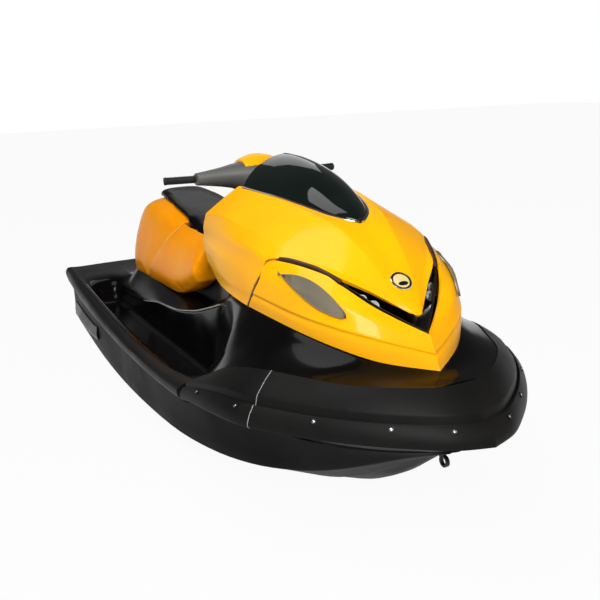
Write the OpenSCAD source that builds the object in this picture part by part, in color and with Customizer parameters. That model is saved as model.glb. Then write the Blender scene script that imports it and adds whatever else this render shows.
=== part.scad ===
// Sit-down personal watercraft, assembled from separate pieces.
// Millimetres. +X to the bow, +Y to port, +Z up; z = 0 is the floor under the keel pad.
// Tables of stations give x as a distance forward of the stern; fx() moves it to the shared frame.

/* [Overall] */
// Length over the bow bumper
length = 3300; // [3000:50:3600]
// Beam over the side bumpers
beam = 1180; // [1060:20:1280]
// Highest point, the top of the windshield
height = 1140; // [1080:10:1240]

/* [Hull] */
// Half width of the flat keel pad it parks on
pad_half = 140; // [110:5:160]
// Height of the joint between hull and deck inside the footwells
joint_z = 250; // [245:1:260]
// Gap left at joints between still pieces
fit_gap = 0.3; // [0.2:0.1:0.6]
// Clearance left round moving pieces
move_gap = 6; // [5:0.5:9]

/* [Hood and cowl] */
// Thickness of the painted shells
shell = 16; // [10:1:22]
// Width of the gap line between hood and cowl
panel_gap = 7; // [5:0.5:9]

/* [Storage] */
// Length of the storage bin under the hood
bin_length = 520; // [420:10:560]
// Width of the storage bin
bin_width = 400; // [320:10:430]
// Depth of the storage bin
bin_depth = 230; // [150:10:245]
// Wall of the storage bin
bin_wall = 5; // [4:0.5:8]

/* [Steering] */
// Distance from the middle to the end of a grip
bar_half = 390; // [350:5:420]
// Radius of the handlebar tube
bar_radius = 11; // [9:0.5:13]
// Rake of the steering column, degrees back from upright
rake = 28; // [20:1:35]

/* [Pump] */
// Bore radius of the pump
pump_bore = 80; // [70:1:82]
// Wall of the pump housing
pump_wall = 12; // [8:1:13]
// Height of the pump axis
pump_z = 118; // [114:1:122]
// Number of impeller blades
blades = 4; // [3:1:5]

/* [Engine] */
// Length of the engine block
engine_length = 620; // [480:10:640]
// Width of the engine block
engine_width = 400; // [320:10:420]
// Height of the engine block
engine_height = 330; // [260:10:340]

/* [Hidden] */
$fn = 48;
sx = length / 3300;
sy = beam / 1180;
sz = height / 1140;
function fx(x) = x * sx - length / 2;
function p3(x, y, z) = [fx(x), y * sy, z];

// ---------------------------------------------------------------- shared maths
function cr(a, b, c, d, t) = 0.5 * (2 * b + (c - a) * t + (2 * a - 5 * b + 4 * c - d) * t * t
    + (3 * b - a - 3 * c + d) * t * t * t);
// Rows of a station table, smoothed to sub rows per station
function smooth_rows(r, sub) = let (n = len(r)) [
    for (i = [0 : n - 2]) for (k = [0 : sub - 1])
        cr(r[max(i - 1, 0)], r[i], r[i + 1], r[min(i + 2, n - 1)], k / sub),
    r[n - 1]];
function mirror_y(p) = [p[0], -p[1], p[2]];
// A half row of points (middle first) made whole: starboard edge to port edge
function whole(half) = [
    for (i = [len(half) - 1 : -1 : 1]) mirror_y(half[i]),
    for (i = [0 : len(half) - 1]) half[i]];
function quad(a, b, c, d) = [[a, b, c], [a, c, d]];
// Solid between an outer and an inner grid of points, both m rows of n
module thick(outer, inner) {
    m = len(outer);
    n = len(outer[0]);
    pts = [for (r = outer) for (p = r) p, for (r = inner) for (p = r) p];
    o = function (i, j) i * n + j;
    q = function (i, j) m * n + i * n + j;
    faces = [
        for (i = [0 : m - 2]) for (j = [0 : n - 2])
            each quad(o(i, j), o(i, j + 1), o(i + 1, j + 1), o(i + 1, j)),
        for (i = [0 : m - 2]) for (j = [0 : n - 2])
            each quad(q(i, j), q(i + 1, j), q(i + 1, j + 1), q(i, j + 1)),
        for (j = [0 : n - 2]) each quad(o(0, j + 1), o(0, j), q(0, j), q(0, j + 1)),
        for (j = [0 : n - 2]) each quad(o(m - 1, j), o(m - 1, j + 1), q(m - 1, j + 1), q(m - 1, j)),
        for (i = [0 : m - 2]) each quad(o(i, 0), o(i + 1, 0), q(i + 1, 0), q(i, 0)),
        for (i = [0 : m - 2]) each quad(o(i + 1, n - 1), o(i, n - 1), q(i, n - 1), q(i + 1, n - 1))];
    // turned inside out when its signed volume says so
    six = [for (f = faces) cross(pts[f[0]], pts[f[1]]) * pts[f[2]]] * [for (f = faces) 1];
    polyhedron(pts, six < 0 ? faces : [for (f = faces) [f[0], f[2], f[1]]], convexity = 8);
}
module box(x0, x1, y0, y1, z0, z1) translate([x0, y0, z0]) cube([x1 - x0, y1 - y0, z1 - z0]);
module along_x(x0, x1, r, z) translate([x0, 0, z]) rotate([0, 90, 0]) cylinder(r = r, h = x1 - x0);

// ---------------------------------------------------------------- hull
// station, keel z, pad half width, chine y, chine z, joint y, joint z
HULL = [
    [60, 0, 140, 448, 112, 455, 300],
    [500, 0, 140, 482, 110, 492, 298],
    [1000, 0, 140, 512, 102, 520, 296],
    [1500, 0, 140, 524, 100, 536, 296],
    [2000, 0, 134, 508, 104, 536, 300],
    [2300, 2, 116, 464, 112, 516, 308],
    [2520, 14, 84, 402, 128, 468, 318],
    [2700, 48, 54, 326, 158, 416, 326],
    [2840, 116, 38, 266, 200, 366, 330],
    [2950, 196, 26, 208, 246, 300, 332],
    [3045, 268, 14, 146, 290, 216, 332],
    [3114, 304, 8, 80, 314, 126, 332],
    [3140, 314, 5, 46, 321, 76, 332]];
hull_rows = smooth_rows(HULL, 2);
function hull_out(r) = let (
    k = r[1], p = r[2] * pad_half / 140, cy = r[3], cz = r[4], jy = r[5], jz = r[6]) [
    p3(r[0], 0, k), p3(r[0], p, k),
    p3(r[0], p + (cy - p) * 0.45, k + (cz - k) * 0.42),
    p3(r[0], p + (cy - p) * 0.50, k + (cz - k) * 0.42),
    p3(r[0], cy - 12, cz - 6), p3(r[0], cy + 10, cz),
    p3(r[0], cy + (jy - cy) * 0.55, cz + (jz - cz) * 0.5),
    p3(r[0], jy, jz)];
function hull_in(r) = let (jy = r[5], jz = r[6], z = joint_at(r[0])) [
    p3(r[0], 0, z), p3(r[0], jy * 0.2, z), p3(r[0], jy * 0.45, z), p3(r[0], jy * 0.55, z),
    p3(r[0], jy * 0.7, z), p3(r[0], step_in(jy), z), p3(r[0], step_out(jy), jz - 1), p3(r[0], jy - 3, jz)];
// Inner face of the joint: level amidships, rising to the bow; its step up to the rim
function joint_at(x) = x < 2300 ? joint_z : joint_z + (326 - joint_z) * (x - 2300) / 840;
function step_in(y) = max(y * 0.82, y - 55);
function step_out(y) = max(y * 0.9, y - 40);
tunnel_r = pump_bore + pump_wall + 3;
duct_half = 84;
shaft_r = 13;
plate_x0 = fx(210);
plate_x1 = fx(500);
plate_half = 125;
plate_t = 8;
module hull() {
    color("#141414") difference() {
        thick([for (r = hull_rows) whole(hull_out(r))], [for (r = hull_rows) whole(hull_in(r))]);
        // recess at the transom for the nozzle, the pump tunnel and the intake
        box(fx(0), fx(200), -175, 175, -20, 236);
        along_x(fx(150), fx(520), tunnel_r, pump_z);
        box(fx(510), fx(860), -duct_half, duct_half, -20, 150);
        // bore for the drive shaft, and the engine bay
        along_x(fx(800), fx(960), shaft_r + fit_gap, pump_z);
        box(plate_x0 - 5, plate_x1 + 5, -plate_half - 1, plate_half + 1, -20, plate_t + fit_gap);
        box(fx(930), fx(1690), -230, 230, 60, 400);
    }
}

// ---------------------------------------------------------------- deck
// Bottom edge of the painted body, rear to nose, x/y/z
BOTTOM = [[2050, 303, 682], [2160, 326, 676], [2300, 342, 670], [2428, 346, 664], [2690, 300, 634],
    [2850, 232, 600], [2955, 140, 566], [3050, 0, 540]];
BOTTOM_FRONT = [for (i = [3 : 7]) BOTTOM[i]];
// station, middle z, top edge y/z, shoulder y/z, foot y/z, floor y/z, rail y/z, edge y/z
DECK = [
    [50, 403, 200, 403, 290, 402, 335, 401, 385, 400, 430, 401, 455, 404],
    [250, 404, 205, 404, 290, 403, 340, 401, 395, 399, 445, 399, 470, 402],
    [500, 412, 210, 412, 288, 405, 330, 395, 415, 390, 468, 398, 492, 402],
    [580, 430, 215, 430, 286, 380, 316, 290, 420, 288, 470, 396, 498, 401],
    [760, 452, 220, 452, 288, 352, 314, 276, 432, 276, 480, 392, 508, 397],
    [1000, 466, 225, 466, 292, 372, 316, 275, 446, 275, 492, 385, 520, 390],
    [1250, 474, 232, 474, 296, 416, 320, 275, 456, 275, 500, 378, 530, 384],
    [1520, 476, 238, 476, 300, 442, 322, 275, 462, 275, 506, 372, 536, 378],
    [1740, 482, 244, 482, 300, 484, 325, 276, 464, 276, 508, 369, 538, 375],
    [1880, 540, 250, 540, 300, 522, 330, 278, 464, 278, 508, 369, 537, 373],
    [2060, 606, 266, 606, 302, 580, 338, 290, 462, 288, 504, 369, 532, 374],
    [2200, 652, 290, 652, 318, 640, 372, 400, 460, 352, 498, 376, 524, 380],
    [2330, 660, 310, 660, 336, 655, 388, 530, 440, 432, 484, 402, 512, 400],
    [2428, 657, 312, 657, 342, 657, 388, 590, 430, 508, 468, 470, 496, 448],
    [2560, 646, 296, 646, 326, 646, 366, 598, 406, 556, 444, 526, 474, 506],
    [2700, 628, 258, 628, 294, 628, 330, 592, 362, 564, 402, 542, 430, 530],
    [2830, 604, 204, 604, 236, 604, 272, 578, 304, 558, 340, 542, 366, 533],
    [2950, 565, 116, 565, 138, 565, 186, 556, 230, 546, 274, 538, 304, 533],
    [3045, 540, 10, 540, 30, 540, 80, 539, 130, 537, 184, 535, 218, 533],
    [3110, 536, 8, 536, 22, 536, 46, 535, 72, 534, 108, 533, 134, 533],
    [3140, 534, 4, 534, 12, 534, 24, 534, 40, 533, 60, 533, 76, 533]];
deck_rows = smooth_rows(DECK, 2);
bottom_line = smooth_rows(BOTTOM_FRONT, 3);
// Under the cowl the deck's flat top follows the cowl's bottom edge
// and under the seat it is level
seat_z = 480;
function deck_shoulder(x, z) = x > 2436 && x < 3040 ? lookup(x, [for (q = bottom_line) [q[0], q[2]]]) - 1 : z;
function deck_top(x, z) = x > 640 && x < 1745 ? seat_z - fit_gap : deck_shoulder(x, z);
function deck_out(r) = [p3(r[0], 0, deck_top(r[0], r[1])), p3(r[0], r[2], deck_top(r[0], r[3])),
    p3(r[0], r[4], deck_shoulder(r[0], r[5])), for (k = [6 : 2 : 12]) p3(r[0], r[k], r[k + 1])];
function deck_in(r) = let (
    h = lookup(r[0], [for (q = hull_rows) [q[0], q[6]]]) + fit_gap,
    e = lookup(r[0], [for (q = hull_rows) [q[0], q[5]]]), b = joint_at(r[0]) + fit_gap) [
    p3(r[0], 0, b), p3(r[0], e * 0.3, b), p3(r[0], e * 0.55, b), p3(r[0], e * 0.7, b),
    p3(r[0], step_in(e) - 1.5, b), p3(r[0], step_out(e) - 1.5, h), p3(r[0], r[12], h)];
bin_x0 = fx(2170);
bin_x1 = bin_x0 + bin_length;
bin_top = 622;
module deck() {
    color("#0E0E0F") difference() {
        thick([for (r = deck_rows) whole(deck_in(r))], [for (r = deck_rows) whole(deck_out(r))]);
        box(bin_x0 - fit_gap, bin_x1 + fit_gap, -bin_width / 2 - fit_gap, bin_width / 2 + fit_gap,
            bin_top - bin_depth - fit_gap, 800);
        box(fx(930), fx(1690), -205, 205, 200, 432);
    }
}

// ---------------------------------------------------------------- bumpers
// Bow bumper: inner top x/y/z, outer x/y/z, lip x/y/z, in order from the starboard end to the middle
BOW = [
    [2330, 514, 403, 2360, 588, 372, 2330, 516, 322],
    [2430, 497, 450, 2470, 584, 392, 2430, 493, 325],
    [2550, 474, 503, 2610, 574, 405, 2550, 458, 328],
    [2700, 432, 532, 2760, 545, 412, 2700, 416, 333],
    [2830, 369, 535, 2880, 484, 414, 2830, 362, 336],
    [2950, 307, 535, 3000, 394, 414, 2950, 300, 337],
    [3045, 221, 535, 3105, 297, 413, 3045, 216, 337],
    [3110, 137, 535, 3190, 202, 412, 3112, 130, 337],
    [3143, 66, 534, 3262, 104, 411, 3150, 66, 337],
    [3150, 0, 534, 3300, 0, 410, 3162, 0, 337]];
bow_half = smooth_rows(BOW, 3);
function bow_ring(r, s) = let (
    T = [r[0], r[1], r[2]], O = [r[3], r[4], r[5]], L = [r[6], r[7], r[8]], d = O - T, e = O - L,
    q = function (v) p3(v[0], s * v[1], v[2])) [
    q(T), q(T + d * 0.30 + [0, 0, 14]), q(T + d * 0.60 + [0, 0, 16]), q(T + d * 0.66 + [0, 0, 2]),
    q(T + d * 0.72 + [0, 0, 6]), q(T + d * 0.93 + [0, 0, 6]), q(O + [0, 0, -6]), q(O + [0, 0, -21]),
    q(L + e * 0.52), q(L)];
function bow_back(r, s) = let (
    T = [r[0], r[1], r[2]], L = [r[6], r[7], r[8]], q = function (v) p3(v[0], s * v[1], v[2]),
    B = [T[0], T[1], L[2]]) [
    for (k = [0 : 9]) q(T + (B - T) * (k / 9) + (k == 9 ? [0.5, 0.5, 0] : [1, 1, 0]))];
bow_out = [for (r = bow_half) bow_ring(r, -1), for (i = [len(bow_half) - 2 : -1 : 0]) bow_ring(bow_half[i], 1)];
bow_in = [for (r = bow_half) bow_back(r, -1), for (i = [len(bow_half) - 2 : -1 : 0]) bow_back(bow_half[i], 1)];
module bow_bumper() color("#2B2B2A") thick(bow_out, bow_in);

// Side bumper: station, inner top z, outer y/z, lip z; its back follows the deck's edge
SIDE = [
    [48, 404, 488, 372, 306],
    [500, 401, 532, 368, 303],
    [1000, 389, 564, 360, 301],
    [1500, 377, 584, 352, 300],
    [2000, 373, 590, 352, 303],
    [2326, 396, 588, 366, 312]];
function side_at(x, k) = lookup(x, [for (q = smooth_rows(SIDE, 3)) [q[0], q[k]]]);
function edge_y(x) = lookup(x, [for (q = deck_rows) [q[0], q[12]]]) + fit_gap;
side_rows = [for (r = deck_rows) if (r[0] < 2326)
    [r[0], edge_y(r[0]), side_at(r[0], 1), side_at(r[0], 2), side_at(r[0], 3), side_at(r[0], 4)],
    [2326, edge_y(2326), 396, 588, 366, 312]];
function side_ring(r) = [
    p3(r[0], r[1] + 0.5, r[2]), p3(r[0], r[1] + (r[3] - r[1]) * 0.6, r[2] - 2),
    p3(r[0], r[3] - 3, r[4] + 14), p3(r[0], r[3], r[4]), p3(r[0], r[3] - 4, r[4] - 20),
    p3(r[0], r[1] + (r[3] - r[1]) * 0.5, r[5] + 4), p3(r[0], r[1] + 0.5, r[5])];
function side_back(r) = [for (k = [0 : 6]) p3(r[0], r[1], r[2] + (r[5] - r[2]) * k / 6)];
module side_bumper(s) color("#2B2B2A") mirror([0, s > 0 ? 0 : 1, 0])
    thick([for (r = side_rows) side_back(r)], [for (r = side_rows) side_ring(r)]);
module side_bumper_starboard() side_bumper(-1);
module side_bumper_port() side_bumper(1);

// ---------------------------------------------------------------- hood and cowl
// Long lines of the painted body, x/y/z each: ridge, facet edge, shoulder crease, side, low side,
// groove, bottom edge.  The first four stations are the hood's rear part.
RIDGE = [[2030, 0, 1000], [2180, 0, 996], [2350, 0, 980], [2520, 0, 955], [2640, 0, 925], [2760, 0, 848],
    [2860, 0, 770], [2950, 0, 692]];
FACET = [[2045, 185, 1026], [2180, 178, 1016], [2350, 160, 1000], [2520, 130, 968], [2640, 95, 930],
    [2755, 70, 858], [2855, 48, 772], [2946, 12, 692]];
CREASE = [[1945, 286, 922], [2120, 290, 930], [2320, 288, 914], [2520, 276, 886], [2655, 246, 854],
    [2770, 184, 818], [2850, 94, 770], [2938, 19, 695]];
SEAM = [[1915, 291, 862], [2100, 306, 868], [2310, 322, 862], [2530, 314, 850], [2668, 258, 842],
    [2790, 196, 808], [2856, 110, 757], [2930, 26, 696]];
LOW = [[1895, 288, 808], [2080, 320, 800], [2290, 336, 788], [2506, 335, 772], [2700, 292, 770],
    [2830, 226, 736], [2920, 140, 690], [3010, 0, 622]];
GROOVE = [[1960, 300, 735], [2120, 326, 722], [2290, 342, 715], [2464, 344, 712], [2700, 300, 682],
    [2850, 236, 660], [2945, 146, 632], [3026, 0, 584]];
TOPC = [[2538, 318, 846], [2677, 264, 836], [2803, 196, 800], [2890, 114, 722], [3000, 0, 644]];
function inward(p, t, u) = [p[0], p[1] - t * (p[1] > t ? 1 : 0), p[2] - u];
rear_s = [0 : 3];
function sub_rail(rail, a, b, sub) = smooth_rows([for (i = [a : b]) rail[i]], sub);
rear_rails = [for (q = [RIDGE, FACET, CREASE, SEAM, LOW, GROOVE, BOTTOM]) sub_rail(q, 0, 3, 3)];
front_rails = [for (q = [RIDGE, FACET, CREASE, SEAM]) sub_rail(q, 3, 7, 3)];
function at(rails, i) = [for (q = rails) p3(q[i][0], q[i][1], q[i][2])];
function lining(rails, i, t) = [for (k = [0 : len(rails) - 1]) let (q = rails[k][i])
    p3(q[0], max(0, q[1] - (k == 0 ? 0 : k < 3 ? t * 0.5 : t)), q[2] - (k == len(rails) - 1 ? 0.01 : k < 4 ? t : t * 0.3))];
function lining_f(rails, i, t) = [for (k = [0 : 3]) let (q = rails[k][i])
    p3(q[0] - (k == 3 ? 2 : 4), max(0, q[1] - (k == 0 ? 0 : 3 * k)), q[2] - t)];
n_rear = len(rear_rails[0]);
n_front = len(front_rails[0]);
// The front part starts inside the end of the rear part, so that the two make one solid
function root(rails, deep) = [for (k = [0 : 3]) let (q = rails[k][0])
    p3(q[0] - 10, q[1] - (k == 0 ? 0 : deep ? (k < 3 ? 4 : 12) : 1.5), q[2] - (deep ? 12 : 3))];
module hood() color("#F7A916") union() {
    thick([for (i = [0 : n_rear - 1]) whole(lining(rear_rails, i, shell))],
        [for (i = [0 : n_rear - 1]) whole(at(rear_rails, i))]);
    thick([whole(root(front_rails, true)), for (i = [1 : n_front - 1]) whole(lining_f(front_rails, i, shell))],
        [whole(root(front_rails, false)), for (i = [1 : n_front - 1]) whole(at(front_rails, i))]);
}
// Cowl: the body forward of and below the gap line, all round the nose
cowl_rails = [
    smooth_rows(TOPC, 3),
    smooth_rows([for (i = [3 : 7]) LOW[i] + (i == 3 ? [panel_gap, 0, 0] : [0, 0, 0])], 3),
    smooth_rows([for (i = [3 : 7]) GROOVE[i] + (i == 3 ? [panel_gap, 0, 0] : [0, 0, 0])], 3),
    smooth_rows([for (i = [3 : 7]) BOTTOM[i] + (i == 3 ? [panel_gap, 0, 0] : [0, 0, 0])], 3)];
n_cowl = len(cowl_rails[0]);
// Its wall is thin at the top edge, and its rear edge is cut square
function cowl_row(i, s, t) = [for (k = [0 : 3]) let (p = cowl_rails[k][i], w = t * (k == 0 ? 0.3 : 0.8))
    p3(p[0] - w * min(1, i / 3), s * max(0, p[1] - w), p[2] + (k == 3 ? t * 0.25 : 0))];
cowl_out = [for (i = [0 : n_cowl - 1]) cowl_row(i, -1, 0), for (i = [n_cowl - 2 : -1 : 0]) cowl_row(i, 1, 0)];
cowl_in = [for (i = [0 : n_cowl - 1]) cowl_row(i, -1, shell), for (i = [n_cowl - 2 : -1 : 0]) cowl_row(i, 1, shell)];
module cowl() color("#F7A916") thick(cowl_out, cowl_in);

// ---------------------------------------------------------------- nose vent, lamps, side vents
VENT_IN = [[2648, 236, 806], [2762, 178, 768], [2835, 96, 706], [2872, 44, 660], [2905, 0, 638]];
vent_a = smooth_rows(VENT_IN, 3);
// Outer edge of the vent, inside the cowl's top edge and clear below the hood's lip
vent_i = 4;
function vent_b(i) = cowl_rails[0][i] - [5.4, 5.4, 4 + max(0, 8 - i) * 4.6];
function vent_row(i, s, t) = let (a = vent_a[i], b = vent_b(i)) [
    for (k = [0 : 3]) let (q = a + (b - a) * (k / 3)) p3(q[0], s * max(0, q[1]), q[2] - t)];
module nose_vent() color("#1B1B1C") thick(
    [for (i = [vent_i : n_cowl - 1]) vent_row(i, -1, 8), for (i = [n_cowl - 2 : -1 : vent_i]) vent_row(i, 1, 8)],
    [for (i = [vent_i : n_cowl - 1]) vent_row(i, -1, 0), for (i = [n_cowl - 2 : -1 : vent_i]) vent_row(i, 1, 0)]);
function lamp_row(i, t) = let (a = vent_a[i], b = vent_b(i)) [
    for (k = [0 : 3]) let (q = a + (b - a) * (0.24 + 0.66 * k / 3)) p3(q[0], q[1], q[2] + t)];
module headlight(s) color("#C9D2D8") mirror([0, s > 0 ? 0 : 1, 0]) thick(
    [for (i = [6 : 10]) lamp_row(i, 4)], [for (i = [6 : 10]) lamp_row(i, 0.6)]);
module headlight_starboard() headlight(-1);
module headlight_port() headlight(1);
// Side vent: row along the cowl, upper and lower limit between the cowl's lines
VENT = [[1.9, 0.60, 0.62], [2.6, 0.50, 0.92], [3.4, 0.46, 1.16], [4.2, 0.50, 1.34], [5.0, 0.62, 1.44],
    [5.8, 0.82, 1.47], [6.5, 1.08, 1.44], [6.8, 1.24, 1.36]];
function cowl_at(u, v) = let (i = floor(u), f = u - i, k = floor(v), g = v - k, p = function (k) cowl_rails[k][i]
    + (cowl_rails[k][min(i + 1, n_cowl - 1)] - cowl_rails[k][i]) * f) p(k) + (p(k + 1) - p(k)) * g;
// Four points across, one of them on the cowl's crease where the vent crosses it
function vent_v(r) = r[1] < 1 && r[2] > 1 ? [r[1], (r[1] + 1) / 2, 1, r[2]]
    : [for (k = [0 : 3]) r[1] + (r[2] - r[1]) * k / 3];
function vent_skin(t) = [for (r = VENT) [for (v = vent_v(r)) let (q = cowl_at(r[0], v)) p3(q[0] + t * 0.8, q[1] + t, q[2] + t * 0.3)]];
module side_vent(s) color("#5E5A50") mirror([0, s > 0 ? 0 : 1, 0]) thick(vent_skin(5.4), vent_skin(3));
module side_vent_starboard() side_vent(-1);
module side_vent_port() side_vent(1);

// ---------------------------------------------------------------- windshield and badge
// station, ridge z, base half width
SCREEN = [[2080, 1140, 182], [2150, 1134, 175], [2240, 1119, 160], [2350, 1092, 136],
    [2450, 1052, 110], [2530, 1008, 82], [2580, 976, 48], [2612, 950, 14]];
screen_rows = smooth_rows(SCREEN, 2);
// Height of the hood's top face at station x, y off the middle
function hood_top(x, y) = let (r = lookup(x, [for (q = rear_rails[0]) [q[0], q[2]], for (q = front_rails[0]) [q[0] + 0.01, q[2]]]),
    fy = lookup(x, [for (q = rear_rails[1]) [q[0], q[1]], for (q = front_rails[1]) [q[0] + 0.01, q[1]]]),
    fz = lookup(x, [for (q = rear_rails[1]) [q[0], q[2]], for (q = front_rails[1]) [q[0] + 0.01, q[2]]])) r + (fz - r) * y / fy;
function screen_half(r, t) = let (w = r[2] - t * 0.7, a = height - 1140 + r[1] - t, b = hood_top(r[0], r[2]) + 2 * fit_gap, h = a - b) [
    p3(r[0], 0, a), p3(r[0], w * 0.22, a - h * 0.06), p3(r[0], w * 0.46, a - h * 0.2),
    p3(r[0], w * 0.7, a - h * 0.42), p3(r[0], w * 0.88, a - h * 0.7), p3(r[0], w, b)];
module windshield() color("#0C1512") thick(
    [for (r = screen_rows) whole(screen_half(r, 5))], [for (r = screen_rows) whole(screen_half(r, 0))]);
badge_r = 27;
badge_x = 2852;
module badge() color("#B8BCC0") translate([fx(badge_x) - 1, 0, 778.6]) rotate([0, 38, 0]) difference() {
    cylinder(r = badge_r, h = 5);
    translate([0, 0, 3]) cylinder(r = badge_r - 4, h = 3);
}

// ---------------------------------------------------------------- hood hinge and storage bin
hinge_x = fx(2915);
hinge_z = 684;
pin_r = 4;
hinge_half = 16;
module hood_hinge() color("#3A3A3C") {
    box(hinge_x - 6, hinge_x + 6, -4, 4, 641.4, hinge_z);
    translate([hinge_x, hinge_half, hinge_z]) rotate([90, 0, 0]) cylinder(r = pin_r, h = 2 * hinge_half);
    translate([hinge_x, 4, hinge_z]) rotate([90, 0, 0]) cylinder(r = 6, h = 8);
}
// Lugs under the hood's tip that turn on the pin, with the strap that joins them
module hinge_lugs() color("#3A3A3C") difference() {
    union() {
        for (s = [-1, 1]) {
            translate([0, s * 12.5, 0]) box(hinge_x - 7, hinge_x + 3, -2.5, 2.5, hinge_z, hinge_z + 14);
            translate([hinge_x, s * 12.5, hinge_z]) rotate([90, 0, 0]) cylinder(r = 7, h = 5, center = true);
        }
        box(hinge_x - 7, hinge_x + 2, -15, 15, hinge_z + 12, hinge_z + 15.6);
    }
    translate([hinge_x, 20, hinge_z]) rotate([90, 0, 0]) cylinder(r = pin_r + 0.05, h = 40);
}
module storage_bin() color("#222224") difference() {
    box(bin_x0, bin_x1, -bin_width / 2, bin_width / 2, bin_top - bin_depth, bin_top);
    box(bin_x0 + bin_wall, bin_x1 - bin_wall, bin_wall - bin_width / 2, bin_width / 2 - bin_wall,
        bin_top - bin_depth + bin_wall, bin_top + 10);
}

// ---------------------------------------------------------------- console and steering
// station, top half width, top z, bottom half width
CONSOLE = [[1768, 140, 812, 196], [1810, 165, 850, 207], [1880, 188, 893, 223], [1970, 183, 914, 229], [1985, 180, 916, 230]];
function deck_mid(x) = lookup(x, [for (r = deck_rows) [r[0], deck_top(r[0], r[1])]]) + 0.6;
column_x = fx(1910);
column_z = 930;
column_r = 22;
module on_column() translate([column_x, 0, column_z]) rotate([0, -rake, 0]) children();
module steering_console() color("#151516") difference() {
    thick([for (r = smooth_rows(CONSOLE, 2)) whole([for (w = [0, 0.4, 0.8, 0.9, 1]) p3(r[0], w * r[3], deck_mid(r[0]))])],
        [for (r = smooth_rows(CONSOLE, 2)) whole([p3(r[0], 0, r[2]), p3(r[0], r[1] * 0.5, r[2] - 2),
            p3(r[0], r[1] * 0.85, r[2] - 12), p3(r[0], r[1], r[2] - 40), p3(r[0], r[3], deck_mid(r[0]) + 4)])]);
    on_column() translate([0, 0, -120]) cylinder(r = column_r + 0.05, h = 200);
}
module steering_column() color("#2C2C2E") on_column() translate([0, 0, -118]) cylinder(r = column_r, h = 190);
bar_mid = [fx(1846), 0, 1040];
bar_tip = [fx(1770), bar_half, 1040];
bar_len = norm(bar_tip - bar_mid);
module on_bar(s) translate(bar_mid) rotate([0, 0, s * atan2(bar_tip[1] - bar_mid[1], bar_tip[0] - bar_mid[0])])
    rotate([0, 90, 0]) children();
module handlebar_tube() color("#1A1A1B") {
    on_bar(-1) cylinder(r = bar_radius, h = bar_len - 6);
    on_bar(1) cylinder(r = bar_radius, h = bar_len - 6);
}
grip_length = 124;
module grip(s) color("#111111") on_bar(s) difference() {
    translate([0, 0, bar_len - grip_length]) cylinder(r = bar_radius + 5, h = grip_length);
    translate([0, 0, bar_len - grip_length - 1]) cylinder(r = bar_radius + 0.3, h = grip_length - 4);
}
module grip_starboard() grip(-1);
module grip_port() grip(1);
// Handlebar cover: distance off the middle, centre x/z, half sizes in x/z
COVER = [[264, 1800, 1040, 26, 24], [225, 1808, 1041, 32, 29], [165, 1816, 1042, 43, 38],
    [105, 1820, 1042, 64, 50], [50, 1822, 1040, 88, 60], [0, 1820, 1040, 98, 64]];
cover_both = [for (r = COVER) [-r[0], r[1], r[2], r[3], r[4]], for (i = [len(COVER) - 2 : -1 : 0]) COVER[i]];
cover_rows = smooth_rows(cover_both, 2);
// It reaches to the grips, and hangs lower round the column
cover_k = ((bar_len - grip_length) * bar_half / bar_len - 4.5) / 263.5;
function cover_pt(r, a, up, lift) = let (deep = up > 0 ? 1 : 1 + 0.4 * max(0, 1 - abs(r[0]) / 120))
    [fx(r[1]) - r[3] * cos(a), r[0] * cover_k, r[2] + up * deep * r[4] * pow(max(sin(a), 0), 0.8) + lift];
module handlebar_cover() color("#4A4A49") difference() {
    thick([for (r = cover_rows) [for (a = [0 : 20 : 180]) cover_pt(r, a, 1, 0.6)]],
        [for (r = cover_rows) [for (a = [0 : 20 : 180]) cover_pt(r, a, -1, -0.6)]]);
    on_bar(-1) cylinder(r = bar_radius + 0.3, h = bar_len);
    on_bar(1) cylinder(r = bar_radius + 0.3, h = bar_len);
    on_column() translate([0, 0, 20]) cylinder(r = column_r + 0.3, h = 52.4);
}
cap_rows = [for (r = cover_rows) if (abs(r[0]) < 84) r];
function cap_lift(r, a) = 2 + 20 * pow(max(0, 1 - pow(abs(r[0]) / 84, 2)), 0.5) * pow(max(0, sin((a - 20) * 1.5)), 0.6);
module handlebar_cap() color("#F7A916") thick(
    [for (r = cap_rows) [for (a = [20 : 10 : 140]) cover_pt(r, a, 1, 1)]],
    [for (r = cap_rows) [for (a = [20 : 10 : 140]) cover_pt(r, a, 1, 1 + cap_lift(r, a))]]);

// ---------------------------------------------------------------- seat
// Passenger part: bottom x, top x, top z, share of the full width
PASSENGER = [[700, 704, 776, 0.72], [735, 758, 838, 0.92], [800, 880, 870, 1], [900, 1060, 866, 1], [1000, 1330, 816, 1]];
passenger_rows = smooth_rows(PASSENGER, 2);
function slant(r, y, z) = p3(r[0] + (r[1] - r[0]) * (z - seat_z) / (r[2] - seat_z), y, z);
module passenger_seat() color("#F39C12") thick(
    [for (r = passenger_rows) whole([for (y = [0, 60, 120, 180, 225, 250, 262]) slant(r, y * r[3], seat_z)])],
    [for (r = passenger_rows) let (h = r[2] - seat_z) whole([slant(r, 0, r[2]), slant(r, 100 * r[3], r[2] - 4),
        slant(r, 165 * r[3], r[2] - 20), slant(r, 205 * r[3], r[2] - 50), slant(r, 250 * r[3], seat_z + h * 0.52),
        slant(r, 274 * r[3], seat_z + h * 0.22), slant(r, 270 * r[3], seat_z + 8)])]);
trim_t = 14;
trim_y = [-184, -140, -70, 0, 70, 140, 184];
module seat_rear_trim() color("#141414") thick(
    [for (y = trim_y) [for (t = [0 : 0.25 : 1])
        p3(699.6 + 3.6 * t - trim_t * (1 - pow(y / 220, 2)), y * (1 - 0.2 * t), seat_z + 250 * t)]],
    [for (y = trim_y) [for (t = [0 : 0.25 : 1]) p3(699.6 + 3.6 * t, y * (1 - 0.2 * t), seat_z + 250 * t)]]);
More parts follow.
